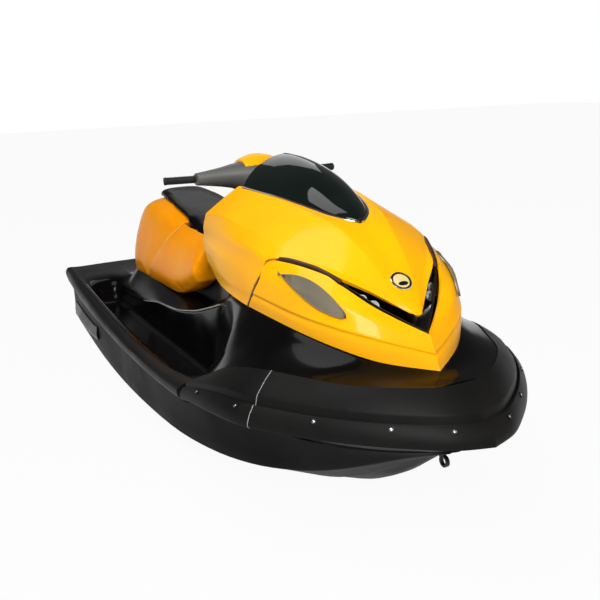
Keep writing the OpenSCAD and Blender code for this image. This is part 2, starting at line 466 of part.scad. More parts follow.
// Driver saddle: x, top z, half width, bottom z
SADDLE_REAR = [[806, 888, 96, 0], [850, 908, 118, 0], [950, 902, 136, 0], [1080, 882, 150, 0], [1345, 834, 160, 0]];
seat_base_top = 722;
SADDLE_FRONT = [for (r = [[1345, 834, 160], [1450, 808, 160], [1580, 796, 158], [1690, 796, 150], [1752, 786, 130]])
    [r[0], r[1], r[2], seat_base_top + fit_gap]];
function seat_top(x) = lookup(x, [for (r = passenger_rows) [r[1], r[2]]]) + 1.2;
saddle_rows = [for (r = smooth_rows(SADDLE_REAR, 3)) [r[0], r[1], r[2], seat_top(r[0])],
    for (r = smooth_rows(SADDLE_FRONT, 3)) [r[0] + (r[0] < 1346 ? 8 : 0), r[1], r[2], r[3]]];
function saddle_upper(r) = [p3(r[0], 0, r[1]), p3(r[0], r[2] * 0.4, r[1] - 2), p3(r[0], r[2] * 0.7, r[1] - 5),
    p3(r[0], r[2] * 0.9, r[1] - 10), p3(r[0], r[2], max(r[1] - 18, r[3] + 2))];
function saddle_lower(r) = [for (w = [0, 0.4, 0.7, 0.9, 0.98]) p3(r[0], r[2] * w, r[3])];
module driver_seat() color("#0D0D0D") thick(
    [for (r = saddle_rows) whole(saddle_lower(r))], [for (r = saddle_rows) whole(saddle_upper(r))]);
// Side panels beside the saddle: bottom x/z, top x/z
PANEL = [[1012, 480, 1340, 806], [1200, 480, 1440, 800], [1440, 484, 1550, 794], [1600, 530, 1655, 788], [1712, 590, 1742, 774]];
function panel_z(r, t) = let (b = max(r[1], seat_z)) b + (r[3] - b) * t;
module seat_panel(s) color("#F39C12") mirror([0, s > 0 ? 0 : 1, 0]) thick(
    [for (r = smooth_rows(PANEL, 2)) [for (t = [0 : 0.2 : 1]) p3(r[0] + (r[2] - r[0]) * t, 163, panel_z(r, t))]],
    [for (r = smooth_rows(PANEL, 2)) [for (t = [0 : 0.2 : 1]) p3(r[0] + (r[2] - r[0]) * t,
        lookup(t, [[0, 262], [0.2, 280], [0.4, 274], [0.6, 256], [0.8, 226], [1, 178]]), panel_z(r, t))]]);
module seat_panel_starboard() seat_panel(-1);
module seat_panel_port() seat_panel(1);
BASE = [[1014, 1246], [1300, 1420], [1500, 1560], [1736, 1738]];
module seat_base() color("#1C1C1D") thick(
    [for (r = BASE) whole([for (w = [0, 80, 160]) p3(r[0], w, seat_z)])],
    [for (r = BASE) whole([for (w = [0, 80, 160]) p3(r[1], w, seat_base_top)])]);

// ---------------------------------------------------------------- jet drive
pump_x0 = fx(200);
pump_x1 = fx(470);
pump_out = pump_bore + pump_wall;
nozzle_x = fx(150);
bucket_x = fx(105);
bucket_r = 105 / cos(15);
bucket_in = bucket_r - 5;
module pump_housing() color("#9A9DA0") difference() {
    union() {
        along_x(pump_x0 - 8, pump_x1, pump_out, pump_z);
        box(pump_x0 - 12, pump_x0 - 0.3, -150, 150, 24, 226);
        for (s = [-1, 1]) {
            translate([0, s * 128, 0]) box(bucket_x - 14, pump_x0 - 6, -4, 4, pump_z - 14, pump_z + 14);
            translate([bucket_x, s * 128, pump_z]) rotate([90, 0, 0]) cylinder(r = 7, h = 28, center = true);
            translate([0, 0, pump_z + s * 84]) box(nozzle_x - 10, pump_x0 - 6, -10, 10, -5, 5);
            translate([nozzle_x, 0, pump_z + s * 78]) cylinder(r = 5, h = 18, center = true);
        }
        for (a = [0 : 72 : 288]) translate([0, 0, pump_z]) rotate([a, 0, 0]) box(fx(225), fx(300), -2.5, 2.5, 20, pump_bore + 2);
        along_x(fx(222), fx(305), 26, pump_z);
    }
    difference() {
        along_x(pump_x0 - 20, pump_x1 + 5, pump_bore, pump_z);
        along_x(fx(222), fx(305), 26, pump_z);
        for (a = [0 : 72 : 288]) translate([0, 0, pump_z]) rotate([a, 0, 0]) box(fx(225), fx(300), -2.5, 2.5, 20, pump_bore + 2);
    }
}
module impeller() color("#B9BCBF") {
    along_x(fx(305) + fit_gap, fx(420), 28, pump_z);
    along_x(fx(420), fx(920), shaft_r, pump_z);
    intersection() {
        for (i = [0 : blades - 1]) translate([fx(375), 0, pump_z]) rotate([i * 360 / blades, 0, 0])
            translate([0, 0, 52]) rotate([0, 0, 52]) box(-34, 34, -2.5, 2.5, -32, 40);
        along_x(fx(332), fx(418), pump_bore - 6, pump_z);
    }
}
module steering_nozzle() color("#8E9194") translate([0, 0, pump_z]) difference() {
    union() {
        translate([nozzle_x + 22, 0, 0]) rotate([0, -90, 0]) cylinder(r1 = 70, r2 = 54, h = 116);
        translate([nozzle_x, 0, 0]) cylinder(r = 11, h = 140, center = true);
    }
    translate([nozzle_x + 23, 0, 0]) rotate([0, -90, 0]) cylinder(r1 = 62, r2 = 46, h = 118);
    translate([nozzle_x, 0, 0]) cylinder(r = 5.05, h = 200, center = true);
    box(nozzle_x - 22, nozzle_x + 22, -60, 60, -60, 60);
}
module reverse_bucket() color("#77797C") translate([bucket_x, 0, pump_z]) difference() {
    union() {
        difference() {
            rotate([90, 0, 0]) cylinder(r = bucket_r, h = 236, center = true);
            rotate([90, 0, 0]) cylinder(r = bucket_in, h = 224, center = true);
            box(-200, 200, -200, 200, -200, -20);
            rotate([0, 15, 0]) box(-200, 200, -130, 130, -200, 0);
            rotate([0, 102, 0]) box(-200, 200, -130, 130, 0, 200);
        }
        for (s = [-1, 1]) translate([0, s * 115, 0]) rotate([90, 0, 0]) cylinder(r = 16, h = 6, center = true);
    }
    rotate([90, 0, 0]) cylinder(r = 7.05, h = 300, center = true);
}
module ride_plate() color("#8A8D90") {
    box(plate_x0, plate_x1, -plate_half, plate_half, 0, plate_t);
}
module intake_grate() color("#8A8D90") {
    for (i = [-2 : 2]) translate([0, i * 30, 0]) box(fx(520), fx(850), -4, 4, 4, 14);
    for (x = [515, 840]) box(fx(x), fx(x + 15), fit_gap - duct_half, duct_half - fit_gap, 3, 15);
}
module engine() color("#6F7276") translate([fx(1010), -engine_width / 2, 60.4]) cube([engine_length, engine_width, engine_height]);

// ---------------------------------------------------------------- fittings
// Radius of the hole in the towing eyes, their wall and thickness
eye_r = 12;
eye_wall = 7;
eye_thick = 12;
module eye(x, z, back) translate([x, 0, z]) rotate([90, 0, 0]) difference() {
    union() {
        cylinder(r = eye_r + eye_wall, h = eye_thick, center = true);
        rotate([0, 0, back]) box(0, eye_r + eye_wall + 4, -11, 11, -eye_thick / 2, eye_thick / 2);
    }
    cylinder(r = eye_r, h = 40, center = true);
}
stern_eye_y = 330;
module bow_eye() color("#C2C5C8") eye(fx(3072), 256.3, 120);
module stern_eye_starboard() color("#C2C5C8") translate([0, -stern_eye_y, 0]) eye(fx(60) - fit_gap - 23, 224, 0);
module stern_eye_port() color("#C2C5C8") translate([0, stern_eye_y, 0]) eye(fx(60) - fit_gap - 23, 224, 0);
// Sponson: station, middle z, how far it stands out
SPONSON = [[150, 176, 16], [280, 180, 28], [500, 182, 34], [750, 188, 32], [860, 198, 14]];
function hull_at(x, k) = lookup(x, [for (r = hull_rows) [r[0], r[k]]]);
// Hull side at station x, height z
function hull_side(x, z) = let (cy = hull_at(x, 3), cz = hull_at(x, 4), jy = hull_at(x, 5), jz = hull_at(x, 6),
    my = cy + (jy - cy) * 0.55, mz = cz + (jz - cz) * 0.5)
    z < mz ? cy + 10 + (my - cy - 10) * (z - cz) / (mz - cz) : my + (jy - my) * (z - mz) / (jz - mz);
module sponson(s) color("#242424") mirror([0, s > 0 ? 0 : 1, 0]) thick(
    [for (r = SPONSON) [for (d = [-36, 0, 36]) p3(r[0], hull_side(r[0], r[1] + d) + 1.2, r[1] + d)]],
    [for (r = SPONSON) [p3(r[0], hull_side(r[0], r[1] - 36) + 5, r[1] - 36), p3(r[0], hull_side(r[0], r[1]) + r[2], r[1] - 8),
        p3(r[0], hull_side(r[0], r[1] + 36) + 6, r[1] + 36)]]);
module sponson_starboard() sponson(-1);
module sponson_port() sponson(1);

// ---------------------------------------------------------------- assembly
hull();
deck();
bow_bumper();
side_bumper_starboard();
side_bumper_port();
hood();
cowl();
nose_vent();
headlight_starboard();
headlight_port();
side_vent_starboard();
side_vent_port();
windshield();
badge();
hood_hinge();
hinge_lugs();
storage_bin();
steering_console();
steering_column();
handlebar_tube();
grip_starboard();
grip_port();
handlebar_cover();
handlebar_cap();
passenger_seat();
seat_rear_trim();
driver_seat();
seat_panel_starboard();
seat_panel_port();
seat_base();
pump_housing();
impeller();
steering_nozzle();
reverse_bucket();
ride_plate();
intake_grate();
engine();
bow_eye();
stern_eye_starboard();
stern_eye_port();
sponson_starboard();
sponson_port();
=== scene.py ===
"""Sit-down personal watercraft: the visible pieces, their finishes and the studio round them.

Lengths in the tables are millimetres: x forward of the stern, y to port and z up from the floor
under the keel. spot() turns them into the shared frame, which is in metres.
"""

import logging
import math
from collections.abc import Sequence
from dataclasses import dataclass, field
from enum import Enum

import bmesh
import bpy
from mathutils import Matrix, Vector
from mathutils.bvhtree import BVHTree


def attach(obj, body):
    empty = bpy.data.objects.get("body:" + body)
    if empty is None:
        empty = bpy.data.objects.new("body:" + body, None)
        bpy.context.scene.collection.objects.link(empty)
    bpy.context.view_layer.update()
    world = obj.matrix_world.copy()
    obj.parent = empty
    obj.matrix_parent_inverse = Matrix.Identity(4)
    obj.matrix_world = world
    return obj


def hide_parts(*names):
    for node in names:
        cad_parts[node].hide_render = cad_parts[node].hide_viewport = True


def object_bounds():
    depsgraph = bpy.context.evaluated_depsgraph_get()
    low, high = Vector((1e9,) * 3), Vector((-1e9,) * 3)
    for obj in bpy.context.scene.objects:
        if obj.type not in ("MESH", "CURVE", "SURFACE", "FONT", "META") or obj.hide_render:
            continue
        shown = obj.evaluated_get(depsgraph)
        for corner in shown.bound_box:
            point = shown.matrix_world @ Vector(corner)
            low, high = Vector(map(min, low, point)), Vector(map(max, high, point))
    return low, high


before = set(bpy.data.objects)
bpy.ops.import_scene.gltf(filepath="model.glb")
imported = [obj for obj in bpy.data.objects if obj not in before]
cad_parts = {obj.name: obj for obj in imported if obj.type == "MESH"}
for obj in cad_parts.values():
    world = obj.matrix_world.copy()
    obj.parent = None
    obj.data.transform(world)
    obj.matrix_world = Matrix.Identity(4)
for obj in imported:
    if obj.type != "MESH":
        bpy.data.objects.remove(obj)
CAD_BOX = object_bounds()
STERN_X = CAD_BOX[0].x
MM = 0.001
log = logging.getLogger("watercraft")

Row = Sequence[float]
Rings = list[list[Vector]]

SIDES = (("starboard", -1), ("port", 1))


# ---------------------------------------------------------------- shared maths
def spot(x: float, y: float, z: float) -> Vector:
    """A point of the shared frame from a station, an offset and a height in millimetres."""
    return Vector((STERN_X + x * MM, y * MM, z * MM))


def mix(a: Row, b: Row, t: float) -> list[float]:
    """The row a share t of the way from a to b."""
    return [p + (q - p) * t for p, q in zip(a, b)]


def smooth(rows: Sequence[Row], steps: int) -> list[list[float]]:
    """A station table with extra rows on a smooth curve through its own.

    Args:
        rows: the table, at least two rows.
        steps: how many rows replace each one.

    Returns:
        The longer table, first and last rows unchanged.
    """
    made = []
    last = len(rows) - 1
    for i in range(last):
        a, b, c, d = rows[max(i - 1, 0)], rows[i], rows[i + 1], rows[min(i + 2, last)]
        for k in range(steps):
            t = k / steps
            made.append([
                0.5 * (2 * q + (r - p) * t + (2 * p - 5 * q + 4 * r - s) * t * t
                       + (3 * q - p - 3 * r + s) * t ** 3)
                for p, q, r, s in zip(a, b, c, d)])
    made.append(list(rows[-1]))
    return made


def lookup(rows: Sequence[Row], x: float, column: int) -> float:
    """The value of a column where the table's first column reaches x."""
    if x <= rows[0][0]:
        return rows[0][column]
    for a, b in zip(rows, rows[1:]):
        if x <= b[0]:
            t = (x - a[0]) / max(b[0] - a[0], 1e-6)
            return a[column] + (b[column] - a[column]) * t
    return rows[-1][column]


def rounded(points: Sequence[Vector], radii: Sequence[float], arc: int = 3) -> list[Vector]:
    """A polyline with its inner corners rounded, always with the same number of points.

    Args:
        points: the corners in order.
        radii: how far each corner's rounding reaches along its sides, in millimetres.
        arc: pieces that each rounding is made of.

    Returns:
        The ends, with arc + 1 points for each corner between them.
    """
    made = [points[0].copy()]
    for i in range(1, len(points) - 1):
        before, here, after = points[i - 1], points[i], points[i + 1]
        reach = [min(radii[i] * MM, 0.45 * (q - here).length) for q in (before, after)]
        ends = [here + (q - here).normalized() * r for q, r in zip((before, after), reach)]
        for k in range(arc + 1):
            t = k / arc
            made.append(ends[0] * (1 - t) ** 2 + here * 2 * t * (1 - t) + ends[1] * t * t)
    made.append(points[-1].copy())
    return made


def whole(half: Sequence[Vector]) -> list[Vector]:
    """A half section, middle first, made whole from the starboard edge to the port edge."""
    return [Vector((p.x, -p.y, p.z)) for p in half[:0:-1]] + list(half)


def facing(place: Vector, normal: Vector) -> Matrix:
    """The place of a turned piece whose axis points along a normal."""
    return Matrix.Translation(place) @ normal.to_track_quat("Z", "Y").to_matrix().to_4x4()


def crowned(points: Sequence[Vector], rise: Sequence[float], centre: Vector) -> list[Vector]:
    """A section with a point added in each of its flats, pushed out to crown it.

    Args:
        points: the corners of the section.
        rise: how far each flat stands out at its middle, in millimetres.
        centre: a point inside the body, which says which way is out.

    Returns:
        Corners and middles in turn.
    """
    made = [points[0]]
    for a, b, h in zip(points, points[1:], rise):
        middle = (a + b) / 2
        out = middle - centre
        side = (b - a).normalized()
        out = (out - side * out.dot(side))
        out = out.normalized() if out.length > 1e-6 else Vector((0, 0, 1))
        made += [middle + out * h * MM, b]
    return made


# ---------------------------------------------------------------- meshes
def skin(rings: Rings, closed: bool = False, caps: bool = False) -> bmesh.types.BMesh:
    """A grid laid over rings of points.

    Args:
        rings: rows of equally many points.
        closed: each row runs back to its first point.
        caps: the first and last rows are filled in.

    Returns:
        The mesh, with touching points merged.
    """
    rows = [list(r) + ([r[0]] if closed else []) for r in rings]
    across = len(rows[0])
    bm = bmesh.new()
    bmesh.ops.create_grid(bm, x_segments=across - 1, y_segments=len(rows) - 1, size=1)
    bm.verts.ensure_lookup_table()
    for k, vert in enumerate(bm.verts):
        vert.co = rows[k // across][k % across]
    bmesh.ops.remove_doubles(bm, verts=bm.verts, dist=2e-5)
    bmesh.ops.dissolve_degenerate(bm, edges=bm.edges, dist=1e-5)
    if caps:
        bmesh.ops.holes_fill(bm, edges=[e for e in bm.edges if e.is_boundary], sides=0)
    if closed or caps:
        bmesh.ops.recalc_face_normals(bm, faces=bm.faces)
    return bm


def face_out(bm: bmesh.types.BMesh, inside: Vector) -> bmesh.types.BMesh:
    """Turns an open skin so that its faces look away from a point inside the body."""
    bmesh.ops.recalc_face_normals(bm, faces=bm.faces)
    towards = sum(f.normal.dot(f.calc_center_median() - inside) * f.calc_area() for f in bm.faces)
    if towards < 0:
        bmesh.ops.reverse_faces(bm, faces=bm.faces)
    return bm


def solid(rings: Rings) -> bmesh.types.BMesh:
    """A closed body laid over closed rings, its first and last ring filled in."""
    return skin(rings, closed=True, caps=True)


def tube(path: Sequence[Vector], radius: float, sides: int = 10,
         round_ends: bool = True) -> bmesh.types.BMesh:
    """A round bead along a path.

    Args:
        path: points of its middle line.
        radius: in millimetres.
        sides: points round it.
        round_ends: whether the ends taper to a dome.

    Returns:
        The closed mesh.
    """
    rings = []
    up = Vector((0, 0, 1))
    shares = [1.0] * len(path)
    line = list(path)
    if round_ends:
        shoulder, point = 0.7, 0.15
        first = (path[0] - path[1]).normalized() * radius * MM
        final = (path[-1] - path[-2]).normalized() * radius * MM
        line = [path[0] + first, path[0] + first * shoulder, *path,
                path[-1] + final * shoulder, path[-1] + final]
        shares = [point, shoulder, *shares, shoulder, point]
    last = len(line) - 1
    for i, point in enumerate(line):
        along = (line[min(i + 1, last)] - line[max(i - 1, 0)]).normalized()
        side = along.cross(up)
        side = side.normalized() if side.length > 0.05 else Vector((0, 1, 0))
        top = side.cross(along).normalized()
        size = radius * MM * shares[i]
        rings.append([point + (side * math.cos(a) + top * math.sin(a)) * size
                      for a in (2 * math.pi * k / sides for k in range(sides))])
    return solid(rings)


def turned(profile: Sequence[tuple[float, float]], place: Matrix, steps: int = 40) -> bmesh.types.BMesh:
    """A turned piece: its profile spun round the z axis, then put in place.

    Args:
        profile: radius and height in millimetres, from the axis and back to it.
        place: where its own origin and axes lie in the shared frame.
        steps: pieces of the full turn.

    Returns:
        The closed mesh.
    """
    bm = bmesh.new()
    verts = [bm.verts.new((r * MM, 0, h * MM)) for r, h in profile]
    edges = [bm.edges.new(pair) for pair in zip(verts, verts[1:])]
    bmesh.ops.spin(bm, geom=verts + edges, axis=(0, 0, 1), cent=(0, 0, 0), angle=2 * math.pi,
                   steps=steps, use_merge=True)
    bmesh.ops.remove_doubles(bm, verts=bm.verts, dist=1e-6)
    bmesh.ops.transform(bm, matrix=place, verts=bm.verts)
    bmesh.ops.recalc_face_normals(bm, faces=bm.faces)
    return bm


def block(low: Vector, high: Vector, radius: float = 0.0, segments: int = 2) -> bmesh.types.BMesh:
    """A cuboid between two corners, its edges rounded by a radius in millimetres."""
    bm = bmesh.new()
    bmesh.ops.create_cube(bm, size=1)
    for vert in bm.verts:
        vert.co = Vector(low[k] + (high[k] - low[k]) * (vert.co[k] + 0.5) for k in range(3))
    if radius:
        bmesh.ops.bevel(bm, geom=list(bm.edges), offset=radius * MM, affect="EDGES",
                        segments=segments, profile=0.5, material=-1)
    bmesh.ops.recalc_face_normals(bm, faces=bm.faces)
    return bm


def joined(parts: Sequence[bmesh.types.BMesh]) -> bmesh.types.BMesh:
    """Several meshes as one."""
    bm = bmesh.new()
    for part in parts:
        mesh = bpy.data.meshes.new("joining")
        part.to_mesh(mesh)
        part.free()
        bm.from_mesh(mesh)
        bpy.data.meshes.remove(mesh)
    return bm


def mirrored(bm: bmesh.types.BMesh) -> bmesh.types.BMesh:
    """The same piece on the other side of the craft."""
    other = bm.copy()
    bmesh.ops.scale(other, vec=(1, -1, 1), verts=other.verts)
    bmesh.ops.reverse_faces(other, faces=other.faces)
    return other


def on_side(bm: bmesh.types.BMesh, sign: int) -> bmesh.types.BMesh:
    """A piece made for port, turned to starboard where the sign is negative."""
    return bm if sign > 0 else mirrored(bm)


def cut(bm: bmesh.types.BMesh, cutters: Sequence[bmesh.types.BMesh]) -> bmesh.types.BMesh:
    """A closed mesh with other closed meshes taken out of it, one at a time."""
    mesh = bpy.data.meshes.new("blank")
    bm.to_mesh(mesh)
    bm.free()
    blank = bpy.data.objects.new("blank", mesh)
    bpy.context.scene.collection.objects.link(blank)
    for cutter in cutters:
        tool_mesh = bpy.data.meshes.new("cutter")
        cutter.to_mesh(tool_mesh)
        cutter.free()
        tool = bpy.data.objects.new("cutter", tool_mesh)
        bpy.context.scene.collection.objects.link(tool)
        modifier = blank.modifiers.new("Cut", "BOOLEAN")
        modifier.operation = "DIFFERENCE"
        modifier.solver = "EXACT"
        modifier.object = tool
        depsgraph = bpy.context.evaluated_depsgraph_get()
        result = bpy.data.meshes.new_from_object(blank.evaluated_get(depsgraph))
        blank.modifiers.clear()
        blank.data = result
        bpy.data.objects.remove(tool)
    made = bmesh.new()
    made.from_mesh(blank.data)
    bpy.data.objects.remove(blank)
    return made


# ---------------------------------------------------------------- finishes
def linear(code: str) -> tuple[float, float, float, float]:
    """An sRGB hex colour as linear light."""
    parts = [int(code[k:k + 2], 16) / 255 for k in (0, 2, 4)]
    return tuple([c / 12.92 if c <= 0.04045 else ((c + 0.055) / 1.055) ** 2.4 for c in parts] + [1.0])


def add(tree: bpy.types.NodeTree, kind: str, settings: dict | None = None,
        sockets: dict | None = None) -> bpy.types.Node:
    """Adds one node.

    Args:
        tree: the tree it goes into.
        kind: its type name.
        settings: its own properties.
        sockets: what its inputs hold, or the sockets that feed them.

    Returns:
        The node.
    """
    node = tree.nodes.new(kind)
    for name, value in (settings or {}).items():
        setattr(node, name, value)
    for name, value in (sockets or {}).items():
        if isinstance(value, bpy.types.NodeSocket):
            tree.links.new(value, node.inputs[name])
        else:
            node.inputs[name].default_value = value
    return node


class Grain(Enum):
    """How a surface is broken up."""

    FLOW = "soft waves of a sprayed or moulded gloss"
    PEBBLE = "fine pebbles of textured moulded plastic"
    HIDE = "creased cells of embossed vinyl"
    BRUSHED = "fine lines from a brush or grinder"
    CAST = "coarse skin of a casting"


@dataclass(frozen=True)
class Finish:
    """One real material: its name, colours, gloss and surface."""

    name: str
    colour: str
    shade: str
    grain: Grain
    grain_mm: float
    bump_mm: float
    roughness: float
    spread: float = 0.06
    metallic: float = 0.0
    ior: float = 1.5
    specular: float = 0.5
    coat: float = 0.0
    coat_roughness: float = 0.04
    transmission: float = 0.0
    blotch_mm: float = 160.0

    TINT_BAND = (0.35, 0.65)
    ROUGH_BAND = (0.3, 0.7)
    BUMP_STRENGTH = 0.7
    HIDE_EDGE = 0.25
    BRUSH_STRETCH = 0.04

    def height(self, tree: bpy.types.NodeTree, place: bpy.types.NodeSocket) -> bpy.types.NodeSocket:
        """The socket that gives the height of the surface's grain.

        Args:
            tree: the material's nodes.
            place: coordinates on the piece.

        Returns:
            A socket from 0 to 1.
        """
        scale = 1 / (self.grain_mm * MM)
        if self.grain is Grain.PEBBLE:
            cells = add(tree, "ShaderNodeTexVoronoi", {"feature": "SMOOTH_F1"},
                        {"Vector": place, "Scale": scale})
            return cells.outputs["Distance"]
        if self.grain is Grain.HIDE:
            bent = add(tree, "ShaderNodeTexNoise", None,
                       {"Vector": place, "Scale": scale * 0.5, "Detail": 2.0})
            shifted = add(tree, "ShaderNodeVectorMath", {"operation": "MULTIPLY_ADD"},
                          {0: bent.outputs["Color"], 1: (self.grain_mm * MM,) * 3, 2: place})
            cells = add(tree, "ShaderNodeTexVoronoi", {"feature": "DISTANCE_TO_EDGE"},
                        {"Vector": shifted.outputs[0], "Scale": scale})
            edge = add(tree, "ShaderNodeMapRange", {"interpolation_type": "SMOOTHSTEP"},
                       {"Value": cells.outputs["Distance"], "From Max": self.HIDE_EDGE})
            return edge.outputs["Result"]
        if self.grain is Grain.BRUSHED:
            stretched = add(tree, "ShaderNodeMapping", {"vector_type": "POINT"},
                            {"Vector": place, "Scale": (self.BRUSH_STRETCH, 1.0, 1.0)})
            lines = add(tree, "ShaderNodeTexNoise", None,
                        {"Vector": stretched.outputs["Vector"], "Scale": scale, "Detail": 4.0})
            return lines.outputs["Fac"]
        detail = 8.0 if self.grain is Grain.CAST else 1.0
        waves = add(tree, "ShaderNodeTexNoise", None, {"Vector": place, "Scale": scale, "Detail": detail})
        return waves.outputs["Fac"]

    def material(self) -> bpy.types.Material:
        """The material, made once and found by its name after that."""
        found = bpy.data.materials.get(self.name)
        if found:
            return found
        made = bpy.data.materials.new(self.name)
        made.use_nodes = True
        tree = made.node_tree
        surface = tree.nodes["Principled BSDF"]
        place = add(tree, "ShaderNodeTexCoord").outputs["Object"]
        blotch = add(tree, "ShaderNodeTexNoise", None,
                     {"Vector": place, "Scale": 1 / (self.blotch_mm * MM), "Detail": 5.0})
        low, high = self.TINT_BAND
        fade = add(tree, "ShaderNodeMapRange", None,
                   {"Value": blotch.outputs["Fac"], "From Min": low, "From Max": high})
        tint = add(tree, "ShaderNodeMix", {"data_type": "RGBA"}, {"Factor": fade.outputs["Result"]})
        tint.inputs[6].default_value = linear(self.colour)
        tint.inputs[7].default_value = linear(self.shade)
        tree.links.new(tint.outputs[2], surface.inputs["Base Color"])
        low, high = self.ROUGH_BAND
        rough = add(tree, "ShaderNodeMapRange", None,
                    {"Value": blotch.outputs["Fac"], "From Min": low, "From Max": high,
                     "To Min": max(self.roughness - self.spread, 0.01),
                     "To Max": self.roughness + self.spread})
        tree.links.new(rough.outputs["Result"], surface.inputs["Roughness"])
        bump = add(tree, "ShaderNodeBump", None,
                   {"Height": self.height(tree, place), "Distance": self.bump_mm * MM,
                    "Strength": self.BUMP_STRENGTH})
        tree.links.new(bump.outputs["Normal"], surface.inputs["Normal"])
        if not self.metallic:
            surface.inputs["IOR"].default_value = self.ior
        for name, value in {"Metallic": self.metallic, "Specular IOR Level": self.specular,
                            "Coat Weight": self.coat, "Coat Roughness": self.coat_roughness,
                            "Transmission Weight": self.transmission}.items():
            surface.inputs[name].default_value = value
        return made


# Two-pack paint over moulded shell: deep even yellow under a clear coat, with a little flow in the gloss.
YELLOW_PAINT = Finish("Two-pack yellow paint", "FFB603", "FDAD01", Grain.FLOW, 22, 0.04, 0.45,
                      specular=0.08, coat=0.18, coat_roughness=0.1, blotch_mm=420)
# Gelcoat from a polished mould: near black with a weak sheen and faint waves.
HULL_GELCOAT = Finish("Black hull gelcoat", "070708", "0A0A0B", Grain.FLOW, 30, 0.05, 0.45,
                      specular=0.02, coat=0.02, coat_roughness=0.14)
# The same gelcoat polished: small sharp highlights on deep black.
DECK_GELCOAT = Finish("Black deck gelcoat", "060607", "090909", Grain.FLOW, 26, 0.06, 0.16,
                      specular=0.06, coat=0.08, coat_roughness=0.04)
# Moulded polyethylene: matt grey-black with a pebble texture, 3 mm so that it shows.
BUMPER_PLASTIC = Finish("Moulded bumper plastic", "121212", "171716", Grain.PEBBLE, 3, 0.25, 0.46,
                        specular=0.08)
# ABS with a fine texture: a black that turns grey towards the light.
BLACK_PLASTIC = Finish("Black ABS moulding", "0E0E0F", "131314", Grain.PEBBLE, 2.5, 0.08, 0.36,
                       specular=0.3)
# The same in mid grey, without shine.
GREY_PLASTIC = Finish("Grey ABS moulding", "4B4B49", "545451", Grain.PEBBLE, 2.5, 0.12, 0.5)
# Expanded metal under warm grey paint: dull, and darker in its holes.
VENT_MESH = Finish("Painted expanded mesh", "6F6754", "7A725E", Grain.PEBBLE, 2, 0.1, 0.5)
# Polycarbonate tinted green-black: nearly mirror smooth.
TINTED_SCREEN = Finish("Tinted polycarbonate", "0A120F", "0D1713", Grain.FLOW, 60, 0.02, 0.05, spread=0.02,
                       specular=0.22, coat=0.15, coat_roughness=0.02)
# Clear polycarbonate: shows what is behind it, with a bright edge.
CLEAR_LENS = Finish("Clear polycarbonate lens", "F2F6F8", "EAF0F4", Grain.FLOW, 30, 0.01, 0.02, spread=0.01,
                    ior=1.58, transmission=1.0)
# Chromed plastic: a mirror with the faintest brush lines.
BRIGHT_TRIM = Finish("Chromed trim", "DADCDE", "CDD0D3", Grain.BRUSHED, 0.8, 0.01, 0.12, spread=0.04,
                     metallic=1.0)
# Lamp reflector: white and half metallic, bright from every side, a painted highlight in place of a plated
# bowl's reflections.
REFLECTOR_HIGHLIGHT = Finish("Lamp reflector with painted highlight", "F8F8FA", "F0F0F2", Grain.FLOW, 6, 0.02, 0.25, spread=0.04,
                   metallic=0.45)
# Brushed stainless: grey metal with fine lines.
STAINLESS = Finish("Stainless steel", "B9BBBC", "A9ABAD", Grain.BRUSHED, 0.8, 0.02, 0.28, metallic=1.0)
# Steel under black powder coat: dark, with a soft shine on its bends.
COATED_STEEL = Finish("Black coated steel", "121212", "181817", Grain.PEBBLE, 1.5, 0.03, 0.4, specular=0.3)
# Sand-cast skin: dull light metal, coarse to the eye.
CAST_ALUMINIUM = Finish("Cast aluminium", "A3A5A6", "8F9193", Grain.CAST, 6, 0.2, 0.5, metallic=1.0)
# Moulded rubber: flat black with no clear highlight.
GRIP_RUBBER = Finish("Moulded grip rubber", "0F0F10", "161617", Grain.PEBBLE, 2, 0.15, 0.62, specular=0.35)
# Grey paint over a casting: matt and a little rough.
ENGINE_CASTING = Finish("Painted engine casting", "5E6164", "6B6E71", Grain.CAST, 5, 0.4, 0.55)
# Extruded seal in the gap: its dark red-brown is painted shade of the gap between hood and cowl.
SEAL_GAP_SHADE = Finish("Red-brown seal with painted gap shade", "2A0E06", "38150A", Grain.PEBBLE, 2, 0.05, 0.5)
# Marine vinyl: coated cloth with an embossed hide grain, 2.2 mm cells, soft wide highlights.
ORANGE_VINYL = Finish("Orange marine vinyl", "FFA004", "FB9602", Grain.HIDE, 2.2, 0.10, 0.34,
                      specular=0.05, coat=0.1, coat_roughness=0.16, blotch_mm=220)
# The same vinyl in black, smoother from wear.
BLACK_VINYL = Finish("Black marine vinyl", "060607", "09090A", Grain.HIDE, 2.2, 0.12, 0.24,
                     specular=0.03, coat=0.06, coat_roughness=0.08)
# Vinyl welt along a seam, coloured paler than the vinyl as a painted highlight on its bead.
PIPING_HIGHLIGHT = Finish("Pale orange piping with painted highlight", "FFC765", "FFBE55", Grain.PEBBLE, 1.5, 0.03, 0.36, specular=0.3)
# Satin pale gold boss on the nose: a pale gold tone whose paleness is partly a painted reflection in place
# of bright metal.
PALE_GOLD_REFLECTION = Finish("Satin pale gold with painted reflection", "DCCB8E", "CDBA78", Grain.FLOW, 8, 0.02, 0.3)
# Light grey bead: a thin light line against the black. Along the deck's shoulder it is a painted highlight
# of the shoulder's edge; between the bumpers it is the trim of their joint.
BEAD_AND_HIGHLIGHT_GREY = Finish("Light grey bead and painted highlight", "8E8E90", "9A9A9C", Grain.FLOW, 8, 0.02, 0.25)


# ---------------------------------------------------------------- making a piece
def soften(piece: bpy.types.Object, edge: float, steeper: float) -> bpy.types.Modifier:
    """Rounds by so many millimetres the edges that turn by more than so many degrees."""
    bevel = piece.modifiers.new("Edges", "BEVEL")
    bevel.width = edge * MM
    bevel.segments = 2
    bevel.limit_method = "ANGLE"
    bevel.angle_limit = math.radians(steeper)
    return bevel


